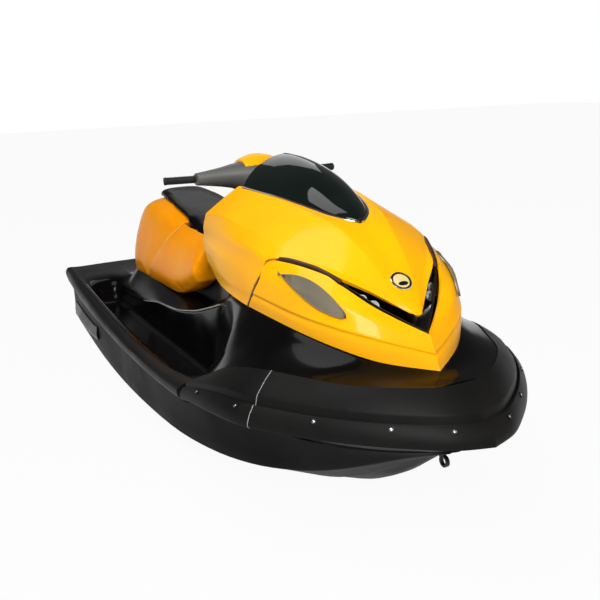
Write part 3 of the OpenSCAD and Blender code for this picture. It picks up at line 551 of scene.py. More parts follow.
def make(name: str, bm: bmesh.types.BMesh, finish: Finish, body: str = "craft",
         stands_for: Sequence[str] = (), wall: float = 0.0, edge: float = 0.0, sharp: float = 32.0,
         weighted: bool = False) -> bpy.types.Object:
    """Turns a mesh into a finished piece that rides on a body.

    Args:
        name: the piece's name.
        bm: its mesh, in the shared frame.
        finish: what it is made of.
        body: the body that it moves with.
        stands_for: the CAD nodes that it replaces.
        wall: thickness given to an open skin, inwards, in millimetres.
        edge: rounding of its sharp edges in millimetres.
        sharp: edges steeper than this many degrees are drawn sharp.
        weighted: whether flats keep their own shading beside narrow roundings.

    Returns:
        The object.
    """
    for face in bm.faces:
        face.smooth = True
    for e in bm.edges:
        if len(e.link_faces) == 2 and e.calc_face_angle(0) > math.radians(sharp):
            e.smooth = False
    mesh = bpy.data.meshes.new(name)
    bm.to_mesh(mesh)
    bm.free()
    piece = bpy.data.objects.new(name, mesh)
    bpy.context.scene.collection.objects.link(piece)
    mesh.materials.append(finish.material())
    if wall:
        solid = piece.modifiers.new("Wall", "SOLIDIFY")
        solid.thickness = wall * MM
        solid.offset = -1
        solid.use_even_offset = True
        solid.use_quality_normals = True
    if edge:
        soften(piece, edge, 40).harden_normals = True
    if weighted:
        normals = piece.modifiers.new("Flats", "WEIGHTED_NORMAL")
        normals.keep_sharp = True
    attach(piece, body)
    if stands_for:
        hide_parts(*stands_for)
    log.info("%s: %d faces, %s, on %s", name, len(mesh.polygons), finish.name, body)
    return piece


def dress(node: str, finish: Finish, edge: float = 0.0) -> None:
    """Gives a CAD node its finish, and a small rounding of its edges in millimetres."""
    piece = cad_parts[node]
    piece.data.materials.clear()
    piece.data.materials.append(finish.material())
    for polygon in piece.data.polygons:
        polygon.use_smooth = False
    weld = piece.modifiers.new("Weld", "WELD")
    weld.merge_threshold = 1e-5
    if edge:
        soften(piece, edge, 30)
    log.info("%s: kept, %s", node, finish.name)


FILLING_PRESSURE = 4.0
VINYL_STRETCH = 25
VINYL_BEND = 4
SWELL_FRAMES = 20
SMOOTH_PASSES = 4


def puff(piece: bpy.types.Object, voxel: float, cap: float) -> None:
    """Lets a padded piece swell as stuffed vinyl does, then keeps that shape.

    Args:
        piece: the pad, a closed mesh slightly smaller than it should be.
        voxel: size of the cloth's cells in millimetres.
        cap: the furthest that a point may move in millimetres.
    """
    remesh = piece.modifiers.new("Cells", "REMESH")
    remesh.mode = "VOXEL"
    remesh.voxel_size = voxel * MM
    depsgraph = bpy.context.evaluated_depsgraph_get()
    cells = bpy.data.meshes.new_from_object(piece.evaluated_get(depsgraph))
    piece.modifiers.clear()
    material = piece.data.materials[0]
    piece.data = cells
    cells.materials.clear()
    cells.materials.append(material)
    rest = [v.co.copy() for v in cells.vertices]
    cloth = piece.modifiers.new("Stuffing", "CLOTH")
    cloth.settings.use_pressure = True
    cloth.settings.uniform_pressure_force = FILLING_PRESSURE
    cloth.settings.effector_weights.gravity = 0
    cloth.settings.tension_stiffness = cloth.settings.compression_stiffness = VINYL_STRETCH
    cloth.settings.bending_stiffness = VINYL_BEND
    cloth.point_cache.frame_start = 1
    cloth.point_cache.frame_end = SWELL_FRAMES
    scene = bpy.context.scene
    for step in range(1, SWELL_FRAMES + 1):
        scene.frame_set(step)
    depsgraph = bpy.context.evaluated_depsgraph_get()
    swollen = bpy.data.meshes.new_from_object(piece.evaluated_get(depsgraph))
    piece.modifiers.clear()
    for vert, new, old in zip(cells.vertices, swollen.vertices, rest):
        move = new.co - old
        reach = cap * MM
        vert.co = old + move * (reach * math.tanh(move.length / reach) / max(move.length, 1e-9))
    bpy.data.meshes.remove(swollen)
    scene.frame_set(1)
    bm = bmesh.new()
    bm.from_mesh(cells)
    for _ in range(SMOOTH_PASSES):
        bmesh.ops.smooth_vert(bm, verts=bm.verts, factor=0.5,
                              use_axis_x=True, use_axis_y=True, use_axis_z=True)
    bm.to_mesh(cells)
    bm.free()
    for polygon in cells.polygons:
        polygon.use_smooth = True


def lay_on(path: Sequence[Vector], piece: bpy.types.Object, lift: float) -> list[Vector]:
    """A path moved onto a piece's surface, lifted off it by so many millimetres."""
    mesh = piece.data
    tree = BVHTree.FromPolygons([v.co for v in mesh.vertices], [p.vertices for p in mesh.polygons])
    laid = []
    for point in path:
        place, normal, _, _ = tree.find_nearest(point)
        laid.append(place + normal * lift * MM)
    return laid


# ---------------------------------------------------------------- hull and deck
def joint_height(x: float) -> float:
    """Height of the joint between hull and deck inside its rim, at station x."""
    return 250 if x < 2300 else 250 + 76 * (x - 2300) / 840


def step_in(y: float) -> float:
    """Half width where the joint's inner face ends."""
    return max(y * 0.82, y - 55)


def step_out(y: float) -> float:
    """Half width where the joint's rim begins."""
    return max(y * 0.9, y - 40)


@dataclass
class Hull:
    """The planing hull with its tunnel, intake and engine bay."""

    # station, keel z, pad half width, chine y, chine z, joint y, joint z
    stations: Sequence[Row] = (
        (60, 0, 140, 448, 112, 455, 300), (500, 0, 140, 482, 110, 492, 298),
        (1000, 0, 140, 512, 102, 520, 296), (1500, 0, 140, 524, 100, 536, 296),
        (2000, 0, 134, 508, 104, 536, 300), (2300, 2, 116, 464, 112, 516, 308),
        (2520, 14, 84, 402, 128, 468, 318), (2700, 48, 54, 326, 158, 416, 326),
        (2840, 116, 38, 266, 200, 366, 330), (2950, 196, 26, 208, 246, 300, 332),
        (3045, 268, 14, 146, 290, 216, 332), (3114, 304, 8, 80, 314, 126, 332),
        (3140, 314, 5, 46, 321, 76, 332))
    pump_z: float = 118
    tunnel_r: float = 95
    duct_half: float = 84
    shaft_r: float = 13.3
    chine_out: float = 10
    # where the side's bend lies between chine and joint, across and up
    side_y: float = 0.55
    side_z: float = 0.5
    rows: list = field(init=False)

    def __post_init__(self) -> None:
        """Works out the smoothed stations that the deck's joint also follows."""
        self.rows = smooth(self.stations, 4)

    def ring(self, row: Row) -> list[Vector]:
        """One closed section of the hull."""
        x, k, p, cy, cz, jy, jz = row
        rail_z = k + (cz - k) * 0.42
        outer = [spot(x, 0, k), spot(x, p, k), spot(x, p + (cy - p) * 0.45, rail_z),
                 spot(x, p + (cy - p) * 0.5, rail_z), spot(x, cy - 12, cz - 6),
                 spot(x, cy + self.chine_out, cz),
                 spot(x, cy + (jy - cy) * self.side_y, cz + (jz - cz) * self.side_z), spot(x, jy, jz)]
        z = joint_height(x)
        inner = [spot(x, 0, z), spot(x, jy * 0.5, z), spot(x, step_in(jy), z),
                 spot(x, step_out(jy), jz - 1), spot(x, jy - 3, jz)]
        outer = rounded(outer, [0, 24, 5, 5, 6, 8, 60, 0], 2)
        return whole(outer) + whole(inner)[::-1]

    def build(self) -> None:
        """Makes the hull and cuts its openings."""
        bm = solid([self.ring(r) for r in self.rows])
        x_axis = Matrix.Rotation(math.pi / 2, 4, "Y")
        bores = [turned([(0, 0), (r, 0), (r, length), (0, length)],
                        Matrix.Translation(spot(x, 0, self.pump_z)) @ x_axis)
                 for x, r, length in ((150, self.tunnel_r, 370), (800, self.shaft_r, 160))]
        boxes = [block(spot(*low), spot(*high)) for low, high in (
            ((-40, -175, -20), (200, 175, 236)), ((510, -self.duct_half, -20), (860, self.duct_half, 150)),
            ((205, -126, -20), (505, 126, 8.3)), ((930, -230, 60), (1690, 230, 400)))]
        make("hull_shell", cut(bm, boxes + bores), HULL_GELCOAT,
             stands_for=["hull"], sharp=28)

    def side(self, x: float, z: float) -> float:
        """Half width of the hull's side at a station and a height."""
        _, _, _, cy, cz, jy, jz = mix(*self.around(x))
        my, mz = cy + (jy - cy) * self.side_y, cz + (jz - cz) * self.side_z
        if z < mz:
            return cy + self.chine_out + (my - cy - self.chine_out) * (z - cz) / (mz - cz)
        return my + (jy - my) * (z - mz) / (jz - mz)

    def around(self, x: float) -> tuple[Row, Row, float]:
        """The rows on each side of a station, and the share of the way between them."""
        for a, b in zip(self.rows, self.rows[1:]):
            if x <= b[0]:
                return a, b, (x - a[0]) / (b[0] - a[0])
        return self.rows[-2], self.rows[-1], 1.0


@dataclass
class Deck:
    """The black upper moulding, with footwells, gunwales and the bin's opening."""

    hull: Hull
    # station, middle z, top edge y/z, shoulder y/z, foot y/z, floor y/z, rail y/z, edge y/z
    stations: Sequence[Row] = (
        (50, 403, 200, 403, 290, 402, 335, 401, 385, 400, 430, 401, 455, 404),
        (250, 404, 205, 404, 290, 403, 340, 401, 395, 399, 445, 399, 470, 402),
        (500, 412, 210, 412, 288, 405, 330, 395, 415, 390, 468, 398, 492, 402),
        (580, 430, 215, 430, 286, 380, 316, 290, 420, 288, 470, 396, 498, 401),
        (760, 452, 220, 452, 288, 352, 314, 276, 432, 276, 480, 392, 508, 397),
        (1000, 466, 225, 466, 292, 372, 316, 275, 446, 275, 492, 385, 520, 390),
        (1250, 474, 232, 474, 296, 416, 320, 275, 456, 275, 500, 378, 530, 384),
        (1520, 476, 238, 476, 300, 442, 322, 275, 462, 275, 506, 372, 536, 378),
        (1740, 482, 244, 482, 300, 484, 325, 276, 464, 276, 508, 369, 538, 375),
        (1880, 540, 250, 540, 300, 522, 330, 278, 464, 278, 508, 369, 537, 373),
        (2060, 606, 266, 606, 302, 580, 338, 290, 462, 288, 504, 369, 532, 374),
        (2200, 652, 290, 652, 318, 640, 372, 400, 460, 352, 498, 376, 524, 380),
        (2330, 660, 310, 660, 336, 655, 388, 530, 440, 432, 484, 402, 512, 400),
        (2428, 657, 312, 657, 342, 657, 388, 590, 430, 508, 468, 470, 496, 448),
        (2560, 646, 296, 646, 326, 646, 366, 598, 406, 556, 444, 526, 474, 506),
        (2700, 628, 258, 628, 294, 628, 330, 592, 362, 564, 402, 542, 430, 530),
        (2830, 604, 204, 604, 236, 604, 272, 578, 304, 558, 340, 542, 366, 533),
        (2950, 565, 116, 565, 138, 565, 186, 556, 230, 546, 274, 538, 304, 533),
        (3045, 540, 10, 540, 30, 540, 80, 539, 130, 537, 184, 535, 218, 533),
        (3110, 536, 8, 536, 22, 536, 46, 535, 72, 534, 108, 533, 134, 533),
        (3140, 534, 4, 534, 12, 534, 24, 534, 40, 533, 60, 533, 76, 533))
    seat_z: float = 480
    gap: float = 0.3
    bin_low: tuple = (2170, -200, 392)
    bin_high: tuple = (2690, 200, 622)
    bay_low: tuple = (930, -205, 200)
    bay_high: tuple = (1690, 205, 432)
    # stations between which the light grey bead, a painted highlight, runs along the shoulder
    bead: tuple = (940, 2090)
    rows: list = field(init=False)

    def __post_init__(self) -> None:
        """Works out the smoothed stations."""
        self.rows = smooth(self.stations, 4)

    def shoulder(self, x: float, z: float) -> float:
        """Height of the shoulder, which runs just under the cowl's bottom edge."""
        if not 2436 < x < 3040:
            return z
        return lookup(smooth(PaintedBody.bottom_edge[3:], 3), x, 2) - 1

    def top(self, x: float, z: float) -> float:
        """Height of the middle, which is level under the seat."""
        return self.seat_z - self.gap if 640 < x < 1745 else self.shoulder(x, z)

    def ring(self, row: Row) -> list[Vector]:
        """One closed section of the deck."""
        x = row[0]
        outer = [spot(x, 0, self.top(x, row[1])), spot(x, row[2], self.top(x, row[3])),
                 spot(x, row[4], self.shoulder(x, row[5]))]
        outer += [spot(x, row[k], row[k + 1]) for k in (6, 8, 10, 12)]
        outer = rounded(outer, [0, 12, 14, 24, 26, 16, 0], 3)
        rim = lookup(self.hull.rows, x, 6) + self.gap
        wide = lookup(self.hull.rows, x, 5)
        low = joint_height(x) + self.gap
        inner = [spot(x, 0, low), spot(x, wide * 0.5, low), spot(x, step_in(wide) - 1.5, low),
                 spot(x, step_out(wide) - 1.5, rim), spot(x, row[12], rim)]
        return whole(outer) + whole(inner)[::-1]

    def build(self) -> None:
        """Makes the deck, cuts it for bin and engine, and lays a light grey bead along its shoulder as a
        painted highlight.
        """
        bm = solid([self.ring(r) for r in self.rows])
        low = [c - self.gap for c in self.bin_low]
        cutters = [block(spot(*low), spot(self.bin_high[0] + self.gap, self.bin_high[1] + self.gap, 800)),
                   block(spot(*self.bay_low), spot(*self.bay_high))]
        make("deck_moulding", cut(bm, cutters), DECK_GELCOAT, stands_for=["deck"], sharp=38)
        # the light grey bead along the shoulder is a painted highlight of the shoulder's edge
        path = [spot(r[0], r[4] + 2, self.shoulder(r[0], r[5]) - 1) for r in self.rows
                if self.bead[0] <= r[0] <= self.bead[1]]
        bead = tube(path, 3.2)
        other = mirrored(bead)
        make("deck_shoulder_highlight_port", bead, BEAD_AND_HIGHLIGHT_GREY)
        make("deck_shoulder_highlight_starboard", other, BEAD_AND_HIGHLIGHT_GREY)


# ---------------------------------------------------------------- bumpers
@dataclass
class Bumpers:
    """The bow bumper and the two side bumpers, with their screws and joints."""

    deck: Deck
    # inner top x/y/z, outer x/y/z, lip x/y/z, from the side to the middle
    bow: Sequence[Row] = (
        (2330, 514, 403, 2360, 588, 372, 2330, 516, 322), (2430, 497, 450, 2470, 584, 392, 2430, 493, 325),
        (2550, 474, 503, 2610, 574, 405, 2550, 458, 328), (2700, 432, 532, 2760, 545, 412, 2700, 416, 333),
        (2830, 369, 535, 2880, 484, 414, 2830, 362, 336), (2950, 307, 535, 3000, 394, 414, 2950, 300, 337),
        (3045, 221, 535, 3105, 297, 413, 3045, 216, 337), (3110, 137, 535, 3190, 202, 412, 3112, 130, 337),
        (3143, 66, 534, 3262, 104, 411, 3150, 66, 337), (3150, 0, 534, 3300, 0, 410, 3162, 0, 337))
    # station, inner top z, outer y/z, lip z
    side: Sequence[Row] = (
        (48, 404, 488, 372, 306), (500, 401, 532, 368, 303), (1000, 389, 564, 360, 301),
        (1500, 377, 584, 352, 300), (2000, 373, 590, 352, 303), (2326, 396, 588, 366, 312))
    screws: Sequence[float] = (1.2, 2.9, 4.8, 6.5, 8.0)
    joint_row: int = 20
    notches: Sequence[float] = (130, 330, 1180, 2080)
    # radius and height of the screws' dishes and heads
    dish_profile: Sequence[tuple] = ((0, -3), (9, -3), (9, 2.6), (7.6, 3), (7, 0.8), (0, 0.6))
    head_profile: Sequence[tuple] = ((0, 0), (4.8, 0), (4.8, 2), (3.2, 2.9), (1.8, 3), (1.4, 1.6), (0, 1.6))
    steps: int = 6
    side_end: float = 2326

    def bow_points(self, row: Row) -> list[Vector]:
        """The outer face of one section of the bow bumper, top to bottom."""
        top, out, lip = (Vector(row[k:k + 3]) for k in (0, 3, 6))
        d, e = out - top, out - lip
        z = Vector((0, 0, 1))
        raw = [top, top + d * 0.30 + z * 14, top + d * 0.60 + z * 16, top + d * 0.655 - z * 4,
               top + d * 0.70 - z * 3, self.below_groove(top, out), self.above_edge(top, out),
               out - z * 6, out - z * 21, lip + e * 0.60, lip + e * 0.52 - z * 3, lip]
        return rounded([spot(*p) for p in raw], [0, 30, 5, 4, 4, 5, 10, 8, 8, 6, 6, 0], 2)

    def below_groove(self, top: Vector, out: Vector) -> Vector:
        """Where the face starts again below the groove."""
        return top + (out - top) * 0.735 + Vector((0, 0, 12))

    def above_edge(self, top: Vector, out: Vector) -> Vector:
        """Where the same face ends, above the bumper's outer edge."""
        return top + (out - top) * 0.93 + Vector((0, 0, 6))

    def bow_back(self, row: Row, count: int) -> list[Vector]:
        """The back of the same section, top to bottom."""
        top, lip = Vector(row[0:3]), Vector(row[6:9])
        low = Vector((top.x, top.y, lip.z))
        return [spot(*(top + (low - top) * (k / (count - 1)) + Vector((1, 1, 0)))) for k in range(count)]

    def build(self) -> None:
        """Makes the three bumpers and what is let into them."""
        rows = smooth(self.bow, self.steps)
        half = []
        for row in rows:
            outer = self.bow_points(row)
            back = self.bow_back(row, 4)
            half.append(outer + back[::-1][:-1])
        rings = whole_rings(half)
        make("bow_bumper_moulding", solid(rings), BUMPER_PLASTIC,
             stands_for=["bow_bumper"], sharp=30)
        self.fit_screws(rows)
        seam = tube(self.bow_points(rows[self.joint_row]), 1.3, 8)
        make("bumper_joint_starboard", mirrored(seam), BEAD_AND_HIGHLIGHT_GREY)
        make("bumper_joint_port", seam, BEAD_AND_HIGHLIGHT_GREY)
        for name, sign in SIDES:
            places = [r[0] for r in self.deck.rows if r[0] < self.side_end] + [self.side_end]
            piece = on_side(solid([self.side_ring(x) for x in places]), sign)
            make(f"side_bumper_{name}_moulding", piece, BUMPER_PLASTIC,
                 stands_for=[f"side_bumper_{name}"], edge=1.5, sharp=30)
            plugs = on_side(joined([self.plug(x) for x in self.notches]), sign)
            make(f"bumper_plugs_{name}", plugs, BLACK_PLASTIC)

    def side_ring(self, x: float) -> list[Vector]:
        """One closed section of the side bumper on the port side."""
        rows = smooth(self.side, 4)
        top, wide, mid, lip = (lookup(rows, x, k) for k in (1, 2, 3, 4))
        edge = lookup(self.deck.rows, x, 12) + 0.8
        outer = [spot(x, edge, top), spot(x, edge + (wide - edge) * 0.6, top - 2),
                 spot(x, wide - 3, mid + 14), spot(x, wide, mid), spot(x, wide - 4, mid - 20),
                 spot(x, edge + (wide - edge) * 0.5, lip + 4), spot(x, edge, lip)]
        outer = rounded(outer, [0, 14, 10, 8, 10, 10, 0], 2)
        return outer + [spot(x, edge, lip + (top - lip) * t) for t in (0.33, 0.67)]

    def plug(self, x: float) -> bmesh.types.BMesh:
        """A small cap let into the side bumper's face at a station."""
        rows = smooth(self.side, 4)
        wide, mid = lookup(rows, x, 2), lookup(rows, x, 3)
        return block(spot(x - 11, wide - 7, mid - 7), spot(x + 11, wide - 1.2, mid + 7), 2.5)

    def fit_screws(self, rows: Sequence[Row]) -> None:
        """Puts dished screws with bright heads along the bow bumper, below its groove."""
        heads, dishes = [], []
        for place in self.screws:
            number = round(place * self.steps)
            row = rows[number]
            top, out = Vector(row[0:3]), Vector(row[3:6])
            upper, lower = self.below_groove(top, out), self.above_edge(top, out)
            point = (upper + lower) / 2
            along = Vector(rows[number + 1][3:6]) - out
            normal = along.cross(lower - upper)
            normal = normal if normal.y > 0 else -normal
            for side in (-1, 1):
                turn = facing(spot(point.x, side * point.y, point.z),
                              Vector((normal.x, side * normal.y, normal.z)).normalized())
                dishes.append(turned(self.dish_profile, turn, 20))
                heads.append(turned(self.head_profile, turn, 16))
        make("bumper_screw_dishes", joined(dishes), BLACK_PLASTIC)
        make("bumper_screws", joined(heads), STAINLESS)


def whole_rings(half: Rings) -> Rings:
    """Rings made for one side, side to middle, continued round the bow to the other side."""
    starboard = [[Vector((p.x, -p.y, p.z)) for p in ring] for ring in half]
    return starboard + [list(ring) for ring in half[-2::-1]]


# ---------------------------------------------------------------- painted body
COWL_MIDDLE = spot(2600, 0, 700)


@dataclass
class PaintedBody:
    """The hood that lifts, and the cowl below and forward of it."""

    # Long lines, stern to nose, x/y/z
    ridge: Sequence[Row] = ((2030, 0, 1000), (2180, 0, 996), (2350, 0, 980), (2520, 0, 955), (2640, 0, 925),
                            (2760, 0, 848), (2860, 0, 770), (2950, 0, 692))
    facet: Sequence[Row] = ((2045, 185, 1026), (2180, 178, 1016), (2350, 160, 1000), (2520, 130, 968),
                            (2640, 95, 930), (2755, 70, 858), (2855, 48, 772), (2946, 12, 692))
    crease: Sequence[Row] = ((1945, 286, 922), (2120, 290, 930), (2320, 288, 914), (2520, 276, 886),
                             (2636, 242, 850), (2752, 172, 814), (2842, 90, 767), (2938, 17, 695))
    seam: Sequence[Row] = ((1915, 291, 862), (2100, 306, 868), (2310, 322, 862), (2530, 314, 850),
                           (2648, 248, 838), (2770, 184, 804), (2850, 104, 756), (2930, 24, 696))
    low: Sequence[Row] = ((1895, 288, 808), (2080, 320, 800), (2290, 336, 788), (2506, 335, 772),
                          (2700, 292, 770), (2830, 226, 736), (2920, 140, 690), (3010, 0, 622))
    groove: Sequence[Row] = ((1960, 300, 735), (2120, 326, 722), (2290, 342, 715), (2464, 344, 712),
                             (2700, 300, 682), (2850, 236, 660), (2945, 146, 632), (3026, 0, 584))
    bottom_edge = ((2050, 303, 682), (2160, 326, 676), (2300, 342, 670), (2428, 346, 664), (2690, 300, 634),
                   (2850, 232, 600), (2955, 140, 566), (3050, 0, 540))
    top_edge: Sequence[Row] = ((2538, 318, 846), (2662, 256, 833), (2790, 190, 797), (2888, 112, 722),
                               (3000, 0, 644))
    wall: float = 12
    panel_gap: float = 17
    lamp_step: float = 9
    steps: int = 8
    # how far each flat stands out at its middle, from the ridge down
    crown: Sequence[float] = (3, 2, 1, -4, 2, -2)
    # roundings of the flats, of the two upper creases and of the lower ones
    flat_turn: float = 90
    upper_turns: tuple = (5, 4)
    lower_turns: tuple = (7, 7, 0)
    seam_turn: float = 12
    # how far hood and cowl drop row by row round the corner of the gap between them
    hood_drop: Sequence[float] = (0, 2, 7, 17)
    cowl_drop: Sequence[float] = (34, 15, 5, 1)
    # rows between which the cowl steps down for the lamps
    lamp_from: int = 14
    lamp_to: int = 20
    lip_gap: float = 2.5
    groove_step: float = 5
    seal_radius: float = 8
    seal_rows: tuple = (4, 17)

    def lines(self) -> list[list[list[float]]]:
        """The hood's four upper lines, smoothed over their whole length."""
        return [smooth(line, self.steps) for line in (self.ridge, self.facet, self.crease, self.seam)]

    def section(self, points: list[Vector], fade: float, corner: float) -> list[Vector]:
        """A whole section of the hood through its corner points.

        Args:
            points: from the ridge outwards, four or seven of them.
            fade: how much of the crown is left, 1 to 0 towards the tip.
            corner: rounding at the fourth point in millimetres.

        Returns:
            Points from the starboard edge to the port edge.
        """
        centre = points[0] - Vector((0, 0, 0.2))
        rise = [h * fade for h in self.crown][:len(points) - 1]
        section = crowned(points, rise, centre)
        radii = [0.0]
        for radius in (*self.upper_turns, corner, *self.lower_turns)[:len(points) - 1]:
            radii += [self.flat_turn, radius]
        return whole(rounded(section, radii, 3))

    def hood_rear(self) -> Rings:
        """Sections of the hood back to its rear edge, all seven lines deep."""
        upper = self.lines()
        lower = [smooth(line[:4], self.steps) for line in (self.low, self.groove, self.bottom_edge)]
        last = 3 * self.steps
        rings = []
        for i in range(last + 1):
            points = [spot(*line[i]) for line in upper + lower]
            fillet = max(0, i - last + 3)
            points[3].z -= self.hood_drop[fillet] * MM
            rings.append(self.section(points, 1, self.seam_turn if i < last else 0))
        return rings

    def hood_front(self) -> Rings:
        """Sections of the hood forward to its tip, four lines deep."""
        upper = self.lines()
        first, last = 3 * self.steps, 7 * self.steps
        rings = []
        for i in range(first, last + 1):
            points = [spot(*line[i]) for line in upper]
            points[3].z -= self.hood_drop[max(0, 3 - i + first)] * MM
            rings.append(self.section(points, 1 - (i - first) / (last - first), 0))
        return rings

    def build(self) -> None:
        """Makes the hood and the cowl."""
        inside = spot(2450, 0, 700)
        rear = skin(self.hood_rear())
        front = skin(self.hood_front())
        bm = joined([rear, front])
        bmesh.ops.remove_doubles(bm, verts=bm.verts, dist=4e-4)
        make("hood_shell", face_out(bm, inside), YELLOW_PAINT, "hood", ["hood"],
             wall=self.wall, edge=1.2, sharp=50, weighted=True)
        cowl = face_out(skin(self.cowl_rings()), COWL_MIDDLE)
        make("cowl_shell", cowl, YELLOW_PAINT, stands_for=["cowl"],
             wall=self.wall, edge=1.2, sharp=50, weighted=True)
        self.seal()

    def seal(self) -> None:
        """The rubber bead that fills the gap line along the cowl's rear and top edges, dark red-brown as
        painted shade of the gap.
        """
        lines = self.cowl_lines()
        rise = [Vector(line[0]) for line in lines[:0:-1]]
        over = [Vector(lines[0][i]) + Vector((0, 0, 3 - 1.6 * max(0, i - 11)))
                for i in range(*self.seal_rows)]
        path = [spot(p.x - 9, p.y - 7, p.z) for p in rise] + [spot(p.x - 5, p.y - 7, p.z) for p in over]
        bead = tube(path, self.seal_radius, 10)
        # the bead's dark red-brown is painted shade in the gap line
        make("hood_seal_gap_shade_starboard", mirrored(bead), SEAL_GAP_SHADE)
        make("hood_seal_gap_shade_port", bead, SEAL_GAP_SHADE)

    def cowl_lines(self) -> list[list[list[float]]]:
        """The cowl's long lines from its rear edge to the nose: top, low, groove and bottom."""
        gap = self.panel_gap
        lines = [list(self.top_edge)]
        for line in (self.low, self.groove, self.bottom_edge):
            front = [list(r) for r in line[3:]]
            front[0][0] += gap
            lines.append(front)
        return [smooth(line, self.steps) for line in lines]

    def cowl_rings(self) -> Rings:
        """Sections of the cowl from its starboard rear edge round the nose to port."""
        lines = self.cowl_lines()
        last = len(lines[0]) - 1
        half = []
        for i in range(last + 1):
            top, low, groove, bottom = (Vector(line[i]) for line in lines)
            down = (low - top).normalized()
            at_lamp = min(1.0, max(0.0, (i - self.lamp_from) / 2))
            at_lamp *= 1 - max(0.0, (i - self.lamp_to) / (last - self.lamp_to))
            top += down * (self.lip_gap + self.lamp_step * at_lamp + self.cowl_drop[min(i, 3)])
            fade = min(1.0, (last - i) / 3 + 0.35)
            out = Vector((0.5, 1, 0)).normalized() * self.groove_step * fade
            if i == last:
                out = Vector((self.groove_step, 0, 0))
            side = [top, low, groove + (low - groove) * 0.10 + out * 0.9, groove - out * 0.6,
                    groove + (bottom - groove) * 0.30 + out * 0.5, bottom]
            points = [spot(p.x, max(p.y, 0) if i < last else 0, p.z) for p in side]
            half.append(rounded(points, [0, 16, 7, 7, 26, 0], 3))
        return whole_rings(half)


@dataclass
class NoseLamps:
    """The black V between hood and cowl, with a lamp in each arm and a grille at its point."""

    body: PaintedBody
    # Inner edge under the hood's lip, x/y/z
    inner: Sequence[Row] = ((2648, 236, 806), (2762, 178, 768), (2835, 96, 706), (2872, 44, 660),
                            (2905, 0, 638))
    first: int = 11
    lamp_rows: tuple = (16, 27)
    lamp_share: tuple = (0.20, 0.92)
    # how far the tray's outer edge stands inside and below the cowl's, and how that grows astern
    tray_gap: float = 5.4
    tray_drop: float = 4
    tray_fall: float = 13.8
    fall_station: float = 8 / 3
    # height over the tray of the lens's edge, and how much higher its middle is, outside and inside
    lens_face: tuple = (1, 3.2)
    lens_back: tuple = (-0.6, 2.4)
    # row and radius of each reflector, and the way they face
    bowl_rows: tuple = ((18, 13), (21, 17))
    beam: tuple = (0.86, 0.3, 0.42)

    def across(self, i: int) -> tuple[Vector, Vector]:
        """The inner and outer points of the V at a row, in millimetres."""
        a = Vector(smooth(self.inner, self.body.steps)[i])
        edge = Vector(self.body.cowl_lines()[0][i])
        station = i / self.body.steps
        fall = max(0.0, self.fall_station - station) * self.tray_fall
        edge = edge - Vector((self.tray_gap, self.tray_gap, self.tray_drop + fall))
        return a, edge

    def row(self, i: int, shares: Sequence[float], lifts: Sequence[float]) -> list[Vector]:
        """Points across the V at a row, each lifted by so many millimetres."""
        a, b = self.across(i)
        made = []
        for share, lift in zip(shares, lifts):
            q = a + (b - a) * share
            made.append(spot(q.x + lift * 0.3, max(0.0, q.y + lift * 0.2), q.z + lift))
        return made

    def build(self) -> None:
        """Makes the tray, its lamps and the grille."""
        last = 4 * self.body.steps
        low, high = self.lamp_share
        half = []
        for i in range(self.first, last + 1):
            inside = self.lamp_rows[0] < i < self.lamp_rows[1]
            depth = -11 if inside else -1.5
            shares = (0, low - 0.04, low + 0.03, (low + high) / 2, high - 0.03, high + 0.03, 1)
            half.append(self.row(i, shares, (0, 0, depth, depth, depth, 0, 0)))
        make("nose_vent_tray", face_out(skin(whole_rings(half)), spot(2700, 0, 640)), BLACK_PLASTIC,
             stands_for=["nose_vent"], wall=3, sharp=30)
        for name, sign in SIDES:
            make(f"headlight_lens_{name}", on_side(self.lens(), sign), CLEAR_LENS,
                 stands_for=[f"headlight_{name}"])
            # the reflectors' white is a painted highlight in place of plated reflections
            make(f"headlight_reflector_highlight_{name}", on_side(self.bowls(), sign), REFLECTOR_HIGHLIGHT)
        self.grille(last)

    def lens(self) -> bmesh.types.BMesh:
        """The clear cover of the port lamp."""
        shares = [self.lamp_share[0] + (self.lamp_share[1] - self.lamp_share[0]) * k / 6 for k in range(7)]
        rings = []
        first, last = self.lamp_rows
        for i in range(first, last + 1):
            ends = 1 if first < i < last else 0.3
            arch = [ends * math.sin(math.pi * k / 6) for k in range(7)]
            upper, lower = (self.row(i, shares, [edge + bulge * share for share in arch])
                            for edge, bulge in (self.lens_face, self.lens_back))
            rings.append(upper + lower[::-1])
        return solid(rings)

    def bowls(self) -> bmesh.types.BMesh:
        """Two dished reflectors and a bright end strip behind the port lens, white as painted highlights.
        """
        parts = []
        for i, size in self.bowl_rows:
            a, b = self.across(i)
            centre = a + (b - a) * 0.58 + Vector((2, 0, -3))
            turn = facing(spot(*centre), Vector(self.beam))
            parts.append(turned([(0, -1), (4, -2), (5, -5), (size * 0.6, -4), (size * 0.85, -1), (size, 3),
                                 (size + 1.5, 3), (size * 0.9, -4), (size * 0.5, -8), (0, -9)], turn, 28))
        strip = [self.row(i, (0.24, 0.90), (0, 0)) + self.row(i, (0.90, 0.24), (-6, -6)) for i in (25, 26)]
        parts.append(solid(strip))
        return joined(parts)

    def grille(self, last: int) -> None:
        """A black lattice over the point of the V."""
        shares = [0.14 + 0.76 * k / 8 for k in range(9)]
        half = [self.row(i, shares, [1.6] * 9) for i in range(self.lamp_rows[1] + 1, last + 1)]
        bm = skin(whole_rings(half))
        bmesh.ops.subdivide_edges(bm, edges=bm.edges, cuts=1, use_grid_fill=True)
        bmesh.ops.wireframe(bm, faces=bm.faces, thickness=1.4 * MM, use_replace=True, use_even_offset=True)
        make("nose_vent_grille", bm, BLACK_PLASTIC, sharp=80)


